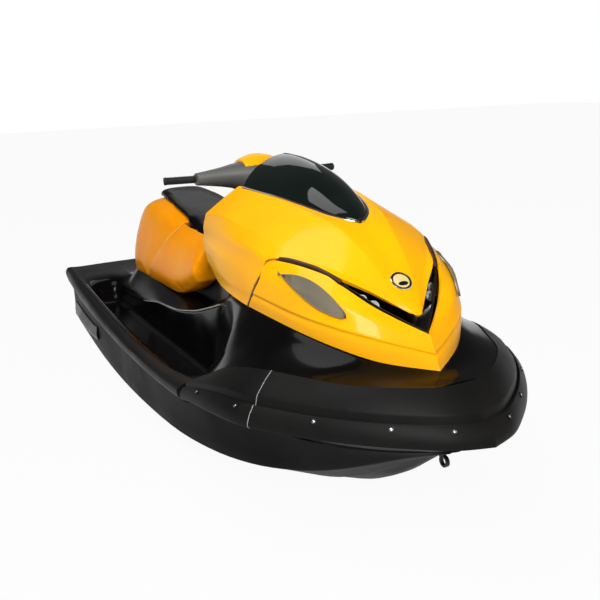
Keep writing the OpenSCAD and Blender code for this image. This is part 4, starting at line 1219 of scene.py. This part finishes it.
@dataclass
class SideVents:
    """The leaf-shaped mesh vents on the cowl's sides."""

    body: PaintedBody
    # place along the cowl in thirds of a station, upper and lower limit between the cowl's lines
    leaf: Sequence[Row] = ((1.9, 0.60, 0.62), (2.6, 0.50, 0.92), (3.4, 0.46, 1.16), (4.2, 0.50, 1.34),
                           (5.0, 0.62, 1.44), (5.8, 0.82, 1.47), (6.5, 1.08, 1.44), (6.8, 1.24, 1.36))
    outward: tuple = (0.8, 1, 0.3)
    lift: float = 5.2
    mesh_lift: float = 1.6
    rim_radius: float = 2.2

    def on_cowl(self, u: float, v: float, lift: float) -> Vector:
        """The point of the cowl at a place along and between its lines, lifted in millimetres."""
        lines = self.body.cowl_lines()
        w = u * self.body.steps / 3
        i, k = int(w), int(v)
        p, q = (Vector(mix(lines[k + s][i], lines[k + s][i + 1], w - i)) for s in (0, 1))
        here = p + (q - p) * (v - k)
        return spot(*(here + Vector(self.outward) * lift))

    def build(self) -> None:
        """Makes each vent's backing, mesh and rim."""
        rows = smooth(self.leaf, 5)
        away = Vector(self.outward) * MM
        grid = [[self.on_cowl(u, a + (b - a) * k / 8, self.lift) for k in range(9)] for u, a, b in rows]
        edge = [r[0] for r in grid] + [r[-1] for r in grid[::-1]]
        edge = [p for p, q in zip(edge, edge[1:] + edge[:1]) if (p - q).length > 4 * MM]
        rim = tube([p + away for p in edge + edge[:1]], self.rim_radius, 8, False)
        plate = face_out(skin(grid), COWL_MIDDLE)
        lattice = skin([[p + away * self.mesh_lift for p in r] for r in grid])
        face_out(lattice, COWL_MIDDLE)
        bmesh.ops.subdivide_edges(lattice, edges=lattice.edges, cuts=1, use_grid_fill=True)
        bmesh.ops.poke(lattice, faces=lattice.faces)
        straight = [e for e in lattice.edges if all(len(v.link_edges) > 4 for v in e.verts)]
        bmesh.ops.dissolve_edges(lattice, edges=straight, use_verts=False)
        bmesh.ops.wireframe(lattice, faces=lattice.faces, thickness=1.5 * MM, use_replace=True,
                            use_even_offset=True)
        for name, sign in SIDES:
            pieces = [on_side(b.copy(), sign) for b in (plate, lattice, rim)]
            make(f"side_vent_{name}_backing", pieces[0], BLACK_PLASTIC,
                 stands_for=[f"side_vent_{name}"], wall=1.4)
            make(f"side_vent_{name}_mesh", pieces[1], VENT_MESH, sharp=80)
            make(f"side_vent_{name}_rim", pieces[2], VENT_MESH)


@dataclass
class Windshield:
    """The tinted screen and the trim round its foot."""

    body: PaintedBody
    # station, ridge z, base half width
    stations: Sequence[Row] = ((2080, 1140, 182), (2150, 1134, 175), (2240, 1119, 160), (2350, 1092, 136),
                               (2450, 1052, 110), (2530, 1008, 82), (2580, 976, 48), (2612, 950, 14))
    thickness: float = 5
    # shares of half width and height that the section passes through, top to foot
    arch: Sequence[tuple] = ((0, 0), (0.22, 0.055), (0.46, 0.19), (0.7, 0.41), (0.88, 0.69), (1, 1))
    tip_x: float = 2618
    gasket_radius: float = 4.2
    trim_radius: float = 1.8

    def hood_top(self, x: float, y: float) -> float:
        """Height of the hood's top at a station and an offset."""
        ridge = smooth(self.body.ridge, 4)
        facet = smooth(self.body.facet, 4)
        middle = lookup(ridge, x, 2)
        return middle + (lookup(facet, x, 2) - middle) * y / lookup(facet, x, 1)

    def half(self, row: Row, inset: float) -> list[Vector]:
        """Half a section of the screen, inset from its outer face in millimetres."""
        x, top, wide = row
        wide -= inset * 0.7
        top -= inset
        base = self.hood_top(x, row[2]) + 0.8
        high = top - base
        points = [spot(x, wide * w, top - high * d) for w, d in self.arch]
        return rounded(points, [0, 30, 40, 40, 30, 0], 3)

    def build(self) -> None:
        """Makes the screen and its trim."""
        rows = smooth(self.stations, 6)
        rings = [whole(self.half(r, 0)) + whole(self.half(r, self.thickness))[::-1] for r in rows]
        make("windshield_screen", solid(rings), TINTED_SCREEN, "hood", ["windshield"],
             sharp=40)
        foot = [spot(r[0], r[2] + 2, self.hood_top(r[0], r[2]) + 3) for r in rows]
        rear = [Vector((p.x, -p.y, p.z)) for p in foot]
        line = rear + [spot(self.tip_x, 0, self.hood_top(self.tip_x, 0) + 3)] + foot[::-1]
        make("windshield_gasket", tube(line, self.gasket_radius), BLACK_PLASTIC, "hood")
        bright = [p + Vector((2, math.copysign(4, p.y) if abs(p.y) > 5 * MM else 0, 0.5)) * MM
                  for p in line]
        make("windshield_trim", tube(bright, self.trim_radius, 8), BRIGHT_TRIM, "hood")


@dataclass
class Badge:
    """A plain round boss on the hood's nose."""

    place: tuple = (2851, 0, 778.6)
    tilt: float = 38
    radius: float = 36
    # how far down the patch lies, as a share of the radius, and how it is stretched
    patch_low: float = 0.35
    patch_shape: tuple = (0.55, 1.2)

    def build(self) -> None:
        """Makes the bright ring, the dark inlay, the pale boss, whose paleness is partly a painted
        reflection, and the dark patch low on it.
        """
        at = Matrix.Translation(spot(*self.place)) @ Matrix.Rotation(math.radians(self.tilt), 4, "Y")
        r = self.radius
        ring = [(0, -6), (r, -6), (r, 2.4), (r - 1.2, 3.6), (r - 2.4, 3.6), (r - 3, 2), (0, 2)]
        inlay = [(r - 3.1, 1.5), (r - 3.1, 3), (r - 4, 3.6), (r - 7, 3.6), (r - 8, 1.5), (r - 3.1, 1.5)]
        boss = [(0, 1.5), (r - 8.2, 1.5), (r - 9, 3.2), (r - 15, 4.6), (0, 5.4)]
        patch = [(0, 4.4), (r * 0.42, 4.4), (r * 0.40, 5.6), (0, 6.0)]
        low = Matrix.Translation(at @ Vector((self.patch_low * r * MM, 0, 0)) - at.translation) @ at
        squeezed = low @ Matrix.Diagonal((*self.patch_shape, 1, 1))
        make("badge_ring", turned(ring, at, 64), BRIGHT_TRIM, "hood", ["badge"])
        make("badge_inlay", turned(inlay, at, 64), BLACK_PLASTIC, "hood")
        # the boss's pale colour is partly a painted reflection in place of bright metal
        make("badge_boss", turned(boss, at, 56), PALE_GOLD_REFLECTION, "hood")
        make("badge_patch", turned(patch, squeezed, 32), BLACK_PLASTIC, "hood")


# ---------------------------------------------------------------- console and steering
@dataclass
class Console:
    """The black pedestal that the steering column comes out of."""

    deck: Deck
    # station, top half width, top z, bottom half width
    stations: Sequence[Row] = ((1768, 140, 812, 196), (1810, 165, 850, 207), (1880, 188, 893, 223),
                               (1970, 183, 914, 229), (1985, 180, 916, 230))
    # radius and height along the column
    boot: Sequence[tuple] = ((24, -26), (44, -26), (42, -20), (34, -16), (38, -11), (30, -6), (33, -1),
                             (25, 4), (24, -26))

    def build(self) -> None:
        """Makes the pedestal and the boot round the column."""
        rings = []
        for x, wide, top, foot in smooth(self.stations, 5):
            low = self.deck.top(x, lookup(self.deck.rows, x, 1)) + 0.8
            outer = [spot(x, 0, top), spot(x, wide * 0.5, top - 2), spot(x, wide * 0.85, top - 12),
                     spot(x, wide, top - 40), spot(x, foot, low + 4), spot(x, foot, low)]
            rings.append(whole(rounded(outer, [0, 60, 24, 30, 4, 0], 3))
                         + [spot(x, foot * w, low) for w in (0.6, 0, -0.6)])
        make("console_moulding", solid(rings), BLACK_PLASTIC,
             stands_for=["steering_console"], edge=4, sharp=35)
        turn = Matrix.Translation(spot(1910, 0, 930)) @ Matrix.Rotation(math.radians(-28), 4, "Y")
        make("column_boot", turned(self.boot, turn, 36), GRIP_RUBBER)


@dataclass
class Handlebar:
    """The steering head: cover, painted cap and ribbed grips, on the column and bar."""

    # distance off the middle, centre x/z, half sizes in x/z
    cover: Sequence[Row] = ((264, 1800, 1040, 26, 24), (225, 1808, 1041, 32, 29), (165, 1816, 1042, 43, 38),
                            (105, 1820, 1042, 64, 50), (50, 1822, 1040, 88, 60), (0, 1820, 1040, 98, 64))
    bar_mid: tuple = (1846, 0, 1040)
    bar_tip: tuple = (1770, 390, 1040)
    grip_radius: float = 16
    grip_length: float = 124
    cap_half: float = 84
    ribs: int = 15

    def rows(self) -> list[list[float]]:
        """The cover's stations from starboard to port."""
        both = [(-r[0], *r[1:]) for r in self.cover] + list(self.cover[-2::-1])
        return smooth(both, 6)

    def point(self, row: Row, angle: float, up: int, lift: float) -> Vector:
        """A point of the cover's skin, by angle over or under its middle line."""
        y, x, z, rx, rz = row
        deep = 1 if up > 0 else 1 + 0.4 * max(0.0, 1 - abs(y) / 120)
        a = math.radians(angle)
        rise = max(math.sin(a), 0) ** 0.8
        return spot(x - rx * math.cos(a), y * self.reach(), z + up * deep * rz * rise + lift)

    def reach(self) -> float:
        """Share by which the cover is stretched to meet the grips."""
        bar = math.dist(self.bar_mid, self.bar_tip)
        return ((bar - self.grip_length) * self.bar_tip[1] / bar - 4.5) / 263.5

    def build(self) -> None:
        """Makes the cover, the cap and the two grips."""
        rings = [[self.point(r, a, 1, 0.6) for a in range(0, 181, 12)]
                 + [self.point(r, a, -1, -0.6) for a in range(168, 0, -12)] for r in self.rows()]
        make("handlebar_cover_moulding", solid(rings), GREY_PLASTIC,
             "handlebars", ["handlebar_cover"], edge=3, sharp=50)
        rows = [r for r in self.rows() if abs(r[0]) < self.cap_half]
        top = [[self.point(r, a, 1, 1 + self.cap_lift(r[0], a)) for a in range(20, 141, 8)] for r in rows]
        low = [[self.point(r, a, 1, 0.9) for a in range(20, 141, 8)] for r in rows]
        cap = solid([t + b[::-1] for t, b in zip(top, low)])
        make("handlebar_cap_moulding", cap, YELLOW_PAINT, "handlebars", ["handlebar_cap"],
             edge=1.5, sharp=45)
        for name, sign in SIDES:
            self.grip(name, sign)

    def cap_lift(self, y: float, angle: float) -> float:
        """How far the cap stands off the cover."""
        side = max(0.0, 1 - (y / self.cap_half) ** 2) ** 0.5
        return 2 + 20 * side * max(0.0, math.sin(math.radians((angle - 20) * 1.5))) ** 0.6

    def grip(self, name: str, sign: int) -> None:
        """One ribbed grip with its flange and end cap."""
        mid = spot(*self.bar_mid)
        tip = spot(self.bar_tip[0], sign * self.bar_tip[1], self.bar_tip[2])
        along = (tip - mid).normalized()
        start = tip - along * self.grip_length * MM
        turn = facing(start, along)
        r = self.grip_radius
        profile = [(0, 0.2), (r - 0.6, 0.2), (r, 1.2), (r, 5), (r - 2, 6.4)]
        pitch = (self.grip_length - 20) / self.ribs
        for k in range(self.ribs):
            z = 8 + k * pitch
            profile += [(r - 2.2, z), (r - 0.4, z + pitch * 0.3), (r - 0.4, z + pitch * 0.6),
                        (r - 2.2, z + pitch * 0.9)]
        end = self.grip_length
        profile += [(r - 1, end - 10), (r, end - 8), (r, end - 3), (r - 3, end - 0.4), (0, end)]
        make(f"grip_{name}_rubber", turned(profile, turn, 32), GRIP_RUBBER, "handlebars",
             [f"grip_{name}"], sharp=50)


# ---------------------------------------------------------------- seat
@dataclass
class Seat:
    """The three-part seat: passenger block, black saddle and orange side panels, on a black base."""

    seat_z: float = 480
    # bottom x, top x, top z, share of the full width
    passenger: Sequence[Row] = ((700, 704, 776, 0.72), (735, 758, 838, 0.92), (800, 880, 870, 1),
                                (900, 1060, 866, 1), (1000, 1330, 816, 1))
    # x, top z, half width
    saddle: Sequence[Row] = ((806, 888, 96), (850, 908, 118), (950, 902, 136), (1080, 882, 150),
                             (1345, 834, 160), (1450, 808, 160), (1580, 796, 158), (1690, 796, 150),
                             (1752, 786, 130))
    base_top: float = 722
    # bottom x/z, top x/z
    panel: Sequence[Row] = ((1012, 480, 1340, 806), (1200, 480, 1440, 800), (1440, 484, 1550, 794),
                            (1600, 530, 1655, 788), (1712, 590, 1742, 774))
    panel_width: Sequence[tuple] = ((0, 262), (0.2, 280), (0.4, 274), (0.6, 256), (0.8, 226), (1, 178))
    base: Sequence[Row] = ((1014, 1246), (1300, 1420), (1500, 1560), (1736, 1738))
    swell: float = 5
    # trim behind the seat: half width, foot's station, lean, height, taper, and how far it bows out
    trim_half: float = 184
    trim_x: float = 699.4
    trim_lean: float = 3.6
    trim_high: float = 250
    trim_taper: float = 0.2
    trim_bow: float = 14

    def slant(self, row: Row, y: float, z: float) -> Vector:
        """A point of the passenger block, whose sections lean forward with height."""
        low, high, top, _ = row
        return spot(low + (high - low) * (z - self.seat_z) / (top - self.seat_z), y, z)

    def passenger_half(self, row: Row, inset: float) -> list[Vector]:
        """Half the outer section of the passenger block, inset in millimetres."""
        top, w = row[2] - inset * 0.4, row[3]
        h = top - self.seat_z
        raw = ((0, top), (100, top - 4), (165, top - 20), (205, top - 50), (250, self.seat_z + h * 0.52),
               (274, self.seat_z + h * 0.22), (270, self.seat_z + 8))
        points = [self.slant(row, max(0.0, y * w - (inset if y else 0)), z) for y, z in raw]
        return rounded(points, [0, 60, 50, 60, 90, 50, 0], 3)

    def saddle_floor(self, x: float) -> float:
        """Height of what the saddle rests on."""
        if x > 1345:
            return self.base_top + 1
        return lookup([(r[1], r[2]) for r in smooth(self.passenger, 4)], x, 1) + 2

    def build(self) -> None:
        """Makes every part of the seat, lets the padding swell, and sews it."""
        inset = self.swell
        rings = []
        for row in smooth(self.passenger, 5):
            outer = whole(self.passenger_half(row, inset))
            low = self.seat_z + 1.5
            rings.append(outer + [self.slant(row, w * row[3], low) for w in (250, 125, 0, -125, -250)])
        rear = make("passenger_seat_pad", solid(rings), ORANGE_VINYL,
                    stands_for=["passenger_seat"])
        puff(rear, 9, 7)
        self.build_saddle()
        for name, sign in SIDES:
            self.side_panel(name, sign)
        self.piping(rear)
        self.build_trim()
        rings = [whole([spot(low, w, self.seat_z) for w in (0, 160)])
                 + whole([spot(high, w, self.base_top) for w in (0, 160)])[::-1]
                 for low, high in smooth(self.base, 4)]
        make("seat_base_moulding", solid(rings), BLACK_PLASTIC, stands_for=["seat_base"],
             edge=2)

    def build_saddle(self) -> None:
        """Makes the black saddle."""
        rings = []
        for x, top, wide in smooth(self.saddle, 6):
            floor = self.saddle_floor(x)
            thick = max(top - floor, 16)
            wide -= self.swell * 0.6
            upper = rounded([spot(x, 0, top - 1), spot(x, wide * 0.45, top - 2),
                             spot(x, wide * 0.78, top - 6), spot(x, wide, top - min(20, thick * 0.5)),
                             spot(x, wide * 0.98, floor)], [0, 60, 34, 16, 0], 3)
            rings.append(whole(upper) + [spot(x, wide * w, floor) for w in (0.5, 0, -0.5)])
        saddle = make("driver_saddle_pad", solid(rings), BLACK_VINYL,
                      stands_for=["driver_seat"])
        puff(saddle, 7, 5)

    def build_trim(self) -> None:
        """Makes the bowed black panel behind the passenger."""
        trim = []
        for k in range(13):
            y = -self.trim_half + 2 * self.trim_half * k / 12
            bow = self.trim_bow * (1 - (y / 220) ** 2)
            inner, outer = (
                [spot(self.trim_x + self.trim_lean * t - out, y * (1 - self.trim_taper * t),
                      self.seat_z + self.trim_high * t) for t in shares]
                for out, shares in ((0, (0, 0.5, 1)), (bow, (0, 0.25, 0.5, 0.75, 1))))
            trim.append(outer + inner[::-1])
        make("seat_rear_trim_moulding", solid(trim), BLACK_VINYL,
             stands_for=["seat_rear_trim"], edge=3, sharp=40)

    def panel_point(self, row: Row, t: float, y: float) -> Vector:
        """A point of the port side panel at a share t of its height."""
        low = max(row[1], self.seat_z)
        return spot(row[0] + (row[2] - row[0]) * t, y, low + (row[3] - low) * t)

    def side_panel(self, name: str, sign: int) -> None:
        """One padded side panel with its hem, whose paler colour is a painted highlight."""
        widths = smooth(self.panel_width, 3)
        rings = []
        for row in smooth(self.panel, 6):
            outer = [self.panel_point(row, 0.015 + 0.97 * t, w - self.swell) for t, w in widths]
            inner = [self.panel_point(row, 0.015 + 0.97 * t, 166) for t in (1, 0.66, 0.33, 0)]
            rings.append([Vector((p.x, sign * p.y, p.z)) for p in outer + inner])
        pad = make(f"seat_panel_{name}_pad", solid(rings), ORANGE_VINYL,
                   stands_for=[f"seat_panel_{name}"])
        puff(pad, 7, 6)
        front = [self.panel_point(self.panel[0], t, w) for t, w in widths[1:]]
        path = [Vector((p.x - 0.002, sign * p.y, p.z)) for p in front]
        # the hem's paler orange is a painted highlight along the seam
        make(f"seat_seam_{name}", tube(lay_on(path, pad, 0.6), 2.2, 8), PIPING_HIGHLIGHT)

    def piping(self, pad: bpy.types.Object) -> None:
        """The sewn bead round the passenger block's rear edge, paler as a painted highlight, and the dark
        welt behind it.
        """
        row = smooth(self.passenger, 5)[2]
        edge = whole(self.passenger_half(row, 0))
        # the piping's paler orange is a painted highlight along the edge
        make("seat_rear_piping", tube(lay_on(edge, pad, 0.4), 2.4, 8), PIPING_HIGHLIGHT)
        row = smooth(self.passenger, 5)[0]
        edge = whole(self.passenger_half(row, 2))
        make("seat_rear_welt", tube(lay_on(edge, pad, 0.6), 4.5, 10), BLACK_VINYL)


# ---------------------------------------------------------------- jet drive and fittings
@dataclass
class JetDrive:
    """The cast pump, nozzle, bucket and plates, which keep the frame's shapes."""

    pump_x: float = 188
    # radius and height of a bolt's washer and head
    bolt: Sequence[tuple] = ((0, 0), (9, 0), (9, 1.6), (6.5, 1.6), (6.5, 6), (5, 7.2), (0, 7.2))

    def build(self) -> None:
        """Dresses the drive's parts and adds the flange's bolts."""
        for node in ("pump_housing", "steering_nozzle", "reverse_bucket"):
            dress(node, CAST_ALUMINIUM, 0.8)
        for node in ("ride_plate", "intake_grate"):
            dress(node, CAST_ALUMINIUM, 0.6)
        dress("impeller", STAINLESS)
        dress("engine", ENGINE_CASTING, 8)
        bolts = []
        for y, z in ((-128, 44), (128, 44), (-128, 206), (128, 206)):
            turn = Matrix.Translation(spot(self.pump_x, y, z)) @ Matrix.Rotation(-math.pi / 2, 4, "Y")
            bolts.append(turned(self.bolt, turn, 6))
        make("pump_flange_bolts", joined(bolts), STAINLESS)


@dataclass
class Fittings:
    """Eyes, sponsons, hinge, bin, column and bar, which keep the frame's shapes."""

    hull: Hull
    # sponson: station, middle z, how far it stands out
    sponson: Sequence[Row] = ((150, 176, 16), (280, 180, 28), (500, 182, 34), (750, 188, 32),
                              (860, 198, 14))

    def build(self) -> None:
        """Dresses the fittings and makes the sponsons."""
        dress("bow_eye", COATED_STEEL, 1.5)
        for node in ("stern_eye_starboard", "stern_eye_port"):
            dress(node, STAINLESS, 1.5)
        for node in ("hood_hinge", "hinge_lugs"):
            dress(node, BLACK_PLASTIC, 0.6)
        dress("storage_bin", BUMPER_PLASTIC, 1.5)
        dress("steering_column", BLACK_PLASTIC, 1)
        dress("handlebar_tube", BLACK_PLASTIC)
        for name, sign in SIDES:
            rings = []
            for x, z, out in smooth(self.sponson, 5):
                side = [spot(x, self.hull.side(x, z + d) + 1.2, z + d) for d in (36, 0, -36)]
                face = [spot(x, self.hull.side(x, z - 36) + 5, z - 36),
                        spot(x, self.hull.side(x, z) + out, z - 8),
                        spot(x, self.hull.side(x, z + 36) + 6, z + 36)]
                ring = side + rounded(face, [0, 14, 0], 3)
                rings.append([Vector((p.x, sign * p.y, p.z)) for p in ring])
            make(f"sponson_{name}_moulding", solid(rings), BLACK_PLASTIC,
                 stands_for=[f"sponson_{name}"], edge=2)


# ---------------------------------------------------------------- studio
@dataclass
class Studio:
    """Camera, floor, lamps and surroundings."""

    camera_at: tuple = (3.196, -1.389, 1.359)
    yaw: float = 152.672
    pitch: float = -14.593
    roll: float = -2.407
    lens: float = 47.6
    sensor: float = 36
    far: float = 200
    # name, place, aim, size, power, tint
    lamps: Sequence[tuple] = (
        ("key", (3.9, -1.9, 3.4), (0.7, 0, 0.6), 1.8, 185, (1, 1, 1)),
        ("top", (0.4, -1.6, 4.2), (0.2, 0, 0.6), 2.4, 75, (1, 1, 1)),
        ("fill", (3.5, 2.5, 2.4), (0.8, 0, 0.6), 2.5, 26, (1, 0.86, 0.7)),
        ("rear", (-3.5, 1.5, 3.4), (-0.6, 0, 0.6), 2.5, 26, (1, 1, 1)))
    floor_half: float = 40
    floor_grey: float = 0.62
    floor_glow: float = 0.95
    # height of a direction and the sky's brightness there
    sky: Sequence[tuple] = ((0.02, 1.0), (0.13, 0.13), (1.0, 0.10))
    sky_light: float = 0.9

    def camera(self) -> None:
        """Places the camera by its yaw, pitch and roll."""
        yaw, pitch, roll = (math.radians(a) for a in (self.yaw, self.pitch, self.roll))
        ahead = Vector((math.cos(pitch) * math.cos(yaw), math.cos(pitch) * math.sin(yaw), math.sin(pitch)))
        right = ahead.cross(Vector((0, 0, 1))).normalized()
        up = right.cross(ahead)
        x = right * math.cos(roll) + up * math.sin(roll)
        y = up * math.cos(roll) - right * math.sin(roll)
        data = bpy.data.cameras.new("camera")
        data.lens = self.lens
        data.sensor_width = self.sensor
        data.clip_end = self.far
        holder = bpy.data.objects.new("camera", data)
        holder.matrix_world = Matrix((x, y, -ahead)).transposed().to_4x4()
        holder.matrix_world.translation = Vector(self.camera_at)
        bpy.context.scene.collection.objects.link(holder)
        bpy.context.scene.camera = holder

    def lamp(self, name: str, place: tuple, aim: tuple, size: float, power: float, tint: tuple) -> None:
        """A square area lamp at a place, turned towards a point."""
        data = bpy.data.lights.new(name, "AREA")
        data.size = size
        data.energy = power
        data.color = tint
        holder = bpy.data.objects.new(name, data)
        holder.location = place
        holder.rotation_euler = (Vector(aim) - Vector(place)).to_track_quat("-Z", "Y").to_euler()
        bpy.context.scene.collection.objects.link(holder)

    def floor(self) -> None:
        """A pale floor that looks white and still takes the craft's shadow."""
        bm = bmesh.new()
        bmesh.ops.create_grid(bm, x_segments=1, y_segments=1, size=self.floor_half)
        mesh = bpy.data.meshes.new("studio_floor")
        bm.to_mesh(mesh)
        bm.free()
        plane = bpy.data.objects.new("studio_floor", mesh)
        bpy.context.scene.collection.objects.link(plane)
        material = bpy.data.materials.new("White studio floor")
        material.use_nodes = True
        tree = material.node_tree
        tree.nodes.clear()
        paint = add(tree, "ShaderNodeBsdfDiffuse", None, {"Color": (*(self.floor_grey,) * 3, 1)})
        glow = add(tree, "ShaderNodeEmission", None, {"Strength": 1.0})
        path = add(tree, "ShaderNodeLightPath")
        seen = add(tree, "ShaderNodeMath", {"operation": "MAXIMUM"},
                   {0: path.outputs["Is Camera Ray"], 1: path.outputs["Is Transmission Ray"]})
        shown = add(tree, "ShaderNodeMath", {"operation": "MAXIMUM"},
                    {0: seen.outputs[0], 1: path.outputs["Is Glossy Ray"]})
        share = add(tree, "ShaderNodeMath", {"operation": "MULTIPLY"},
                    {0: shown.outputs[0], 1: self.floor_glow})
        both = add(tree, "ShaderNodeMixShader", None,
                   {0: share.outputs[0], 1: paint.outputs[0], 2: glow.outputs[0]})
        add(tree, "ShaderNodeOutputMaterial", None, {"Surface": both.outputs[0]})
        mesh.materials.append(material)

    def surroundings(self) -> None:
        """White to the camera; to mirrors and as a light, white at the horizon and grey overhead."""
        world = bpy.data.worlds.new("studio")
        bpy.context.scene.world = world
        world.use_nodes = True
        tree = world.node_tree
        tree.nodes.clear()
        way = add(tree, "ShaderNodeTexCoord").outputs["Generated"]
        parts = add(tree, "ShaderNodeSeparateXYZ", None, {0: way})
        ramp = add(tree, "ShaderNodeValToRGB", None, {"Fac": parts.outputs["Z"]})
        stops = ramp.color_ramp.elements
        stops.new(self.sky[1][0])
        for stop, (height, grey) in zip(stops, self.sky):
            stop.position = height
            stop.color = (grey, grey, grey, 1)
        path = add(tree, "ShaderNodeLightPath")
        seen = add(tree, "ShaderNodeMath", {"operation": "MAXIMUM"},
                   {0: path.outputs["Is Camera Ray"], 1: path.outputs["Is Transmission Ray"]})
        shown = add(tree, "ShaderNodeMath", {"operation": "MAXIMUM"},
                    {0: seen.outputs[0], 1: path.outputs["Is Glossy Ray"]})
        strength = add(tree, "ShaderNodeMapRange", None,
                       {"Value": shown.outputs[0], "To Min": self.sky_light, "To Max": 1.0})
        backdrop = add(tree, "ShaderNodeMix", {"data_type": "RGBA"}, {"Factor": seen.outputs[0]})
        backdrop.inputs[7].default_value = (1, 1, 1, 1)
        tree.links.new(ramp.outputs["Color"], backdrop.inputs[6])
        light = add(tree, "ShaderNodeBackground", None,
                    {"Color": backdrop.outputs[2], "Strength": strength.outputs["Result"]})
        add(tree, "ShaderNodeOutputWorld", None, {"Surface": light.outputs[0]})

    def build(self) -> None:
        """Sets up the whole studio."""
        self.camera()
        self.floor()
        self.surroundings()
        for lamp in self.lamps:
            self.lamp(*lamp)
        bpy.context.scene.view_settings.view_transform = "Standard"


def main() -> None:
    """Builds the craft from the hull up, then the studio."""
    hull = Hull()
    deck = Deck(hull)
    body = PaintedBody()
    for part in (hull, deck, Bumpers(deck), body, NoseLamps(body), SideVents(body), Windshield(body),
                 Badge(), Console(deck), Handlebar(), Seat(), JetDrive(), Fittings(hull), Studio()):
        part.build()
        log.info("%s done", type(part).__name__)


if __name__ == "__main__":
    logging.basicConfig(level=logging.INFO, format="%(message)s")
    main()
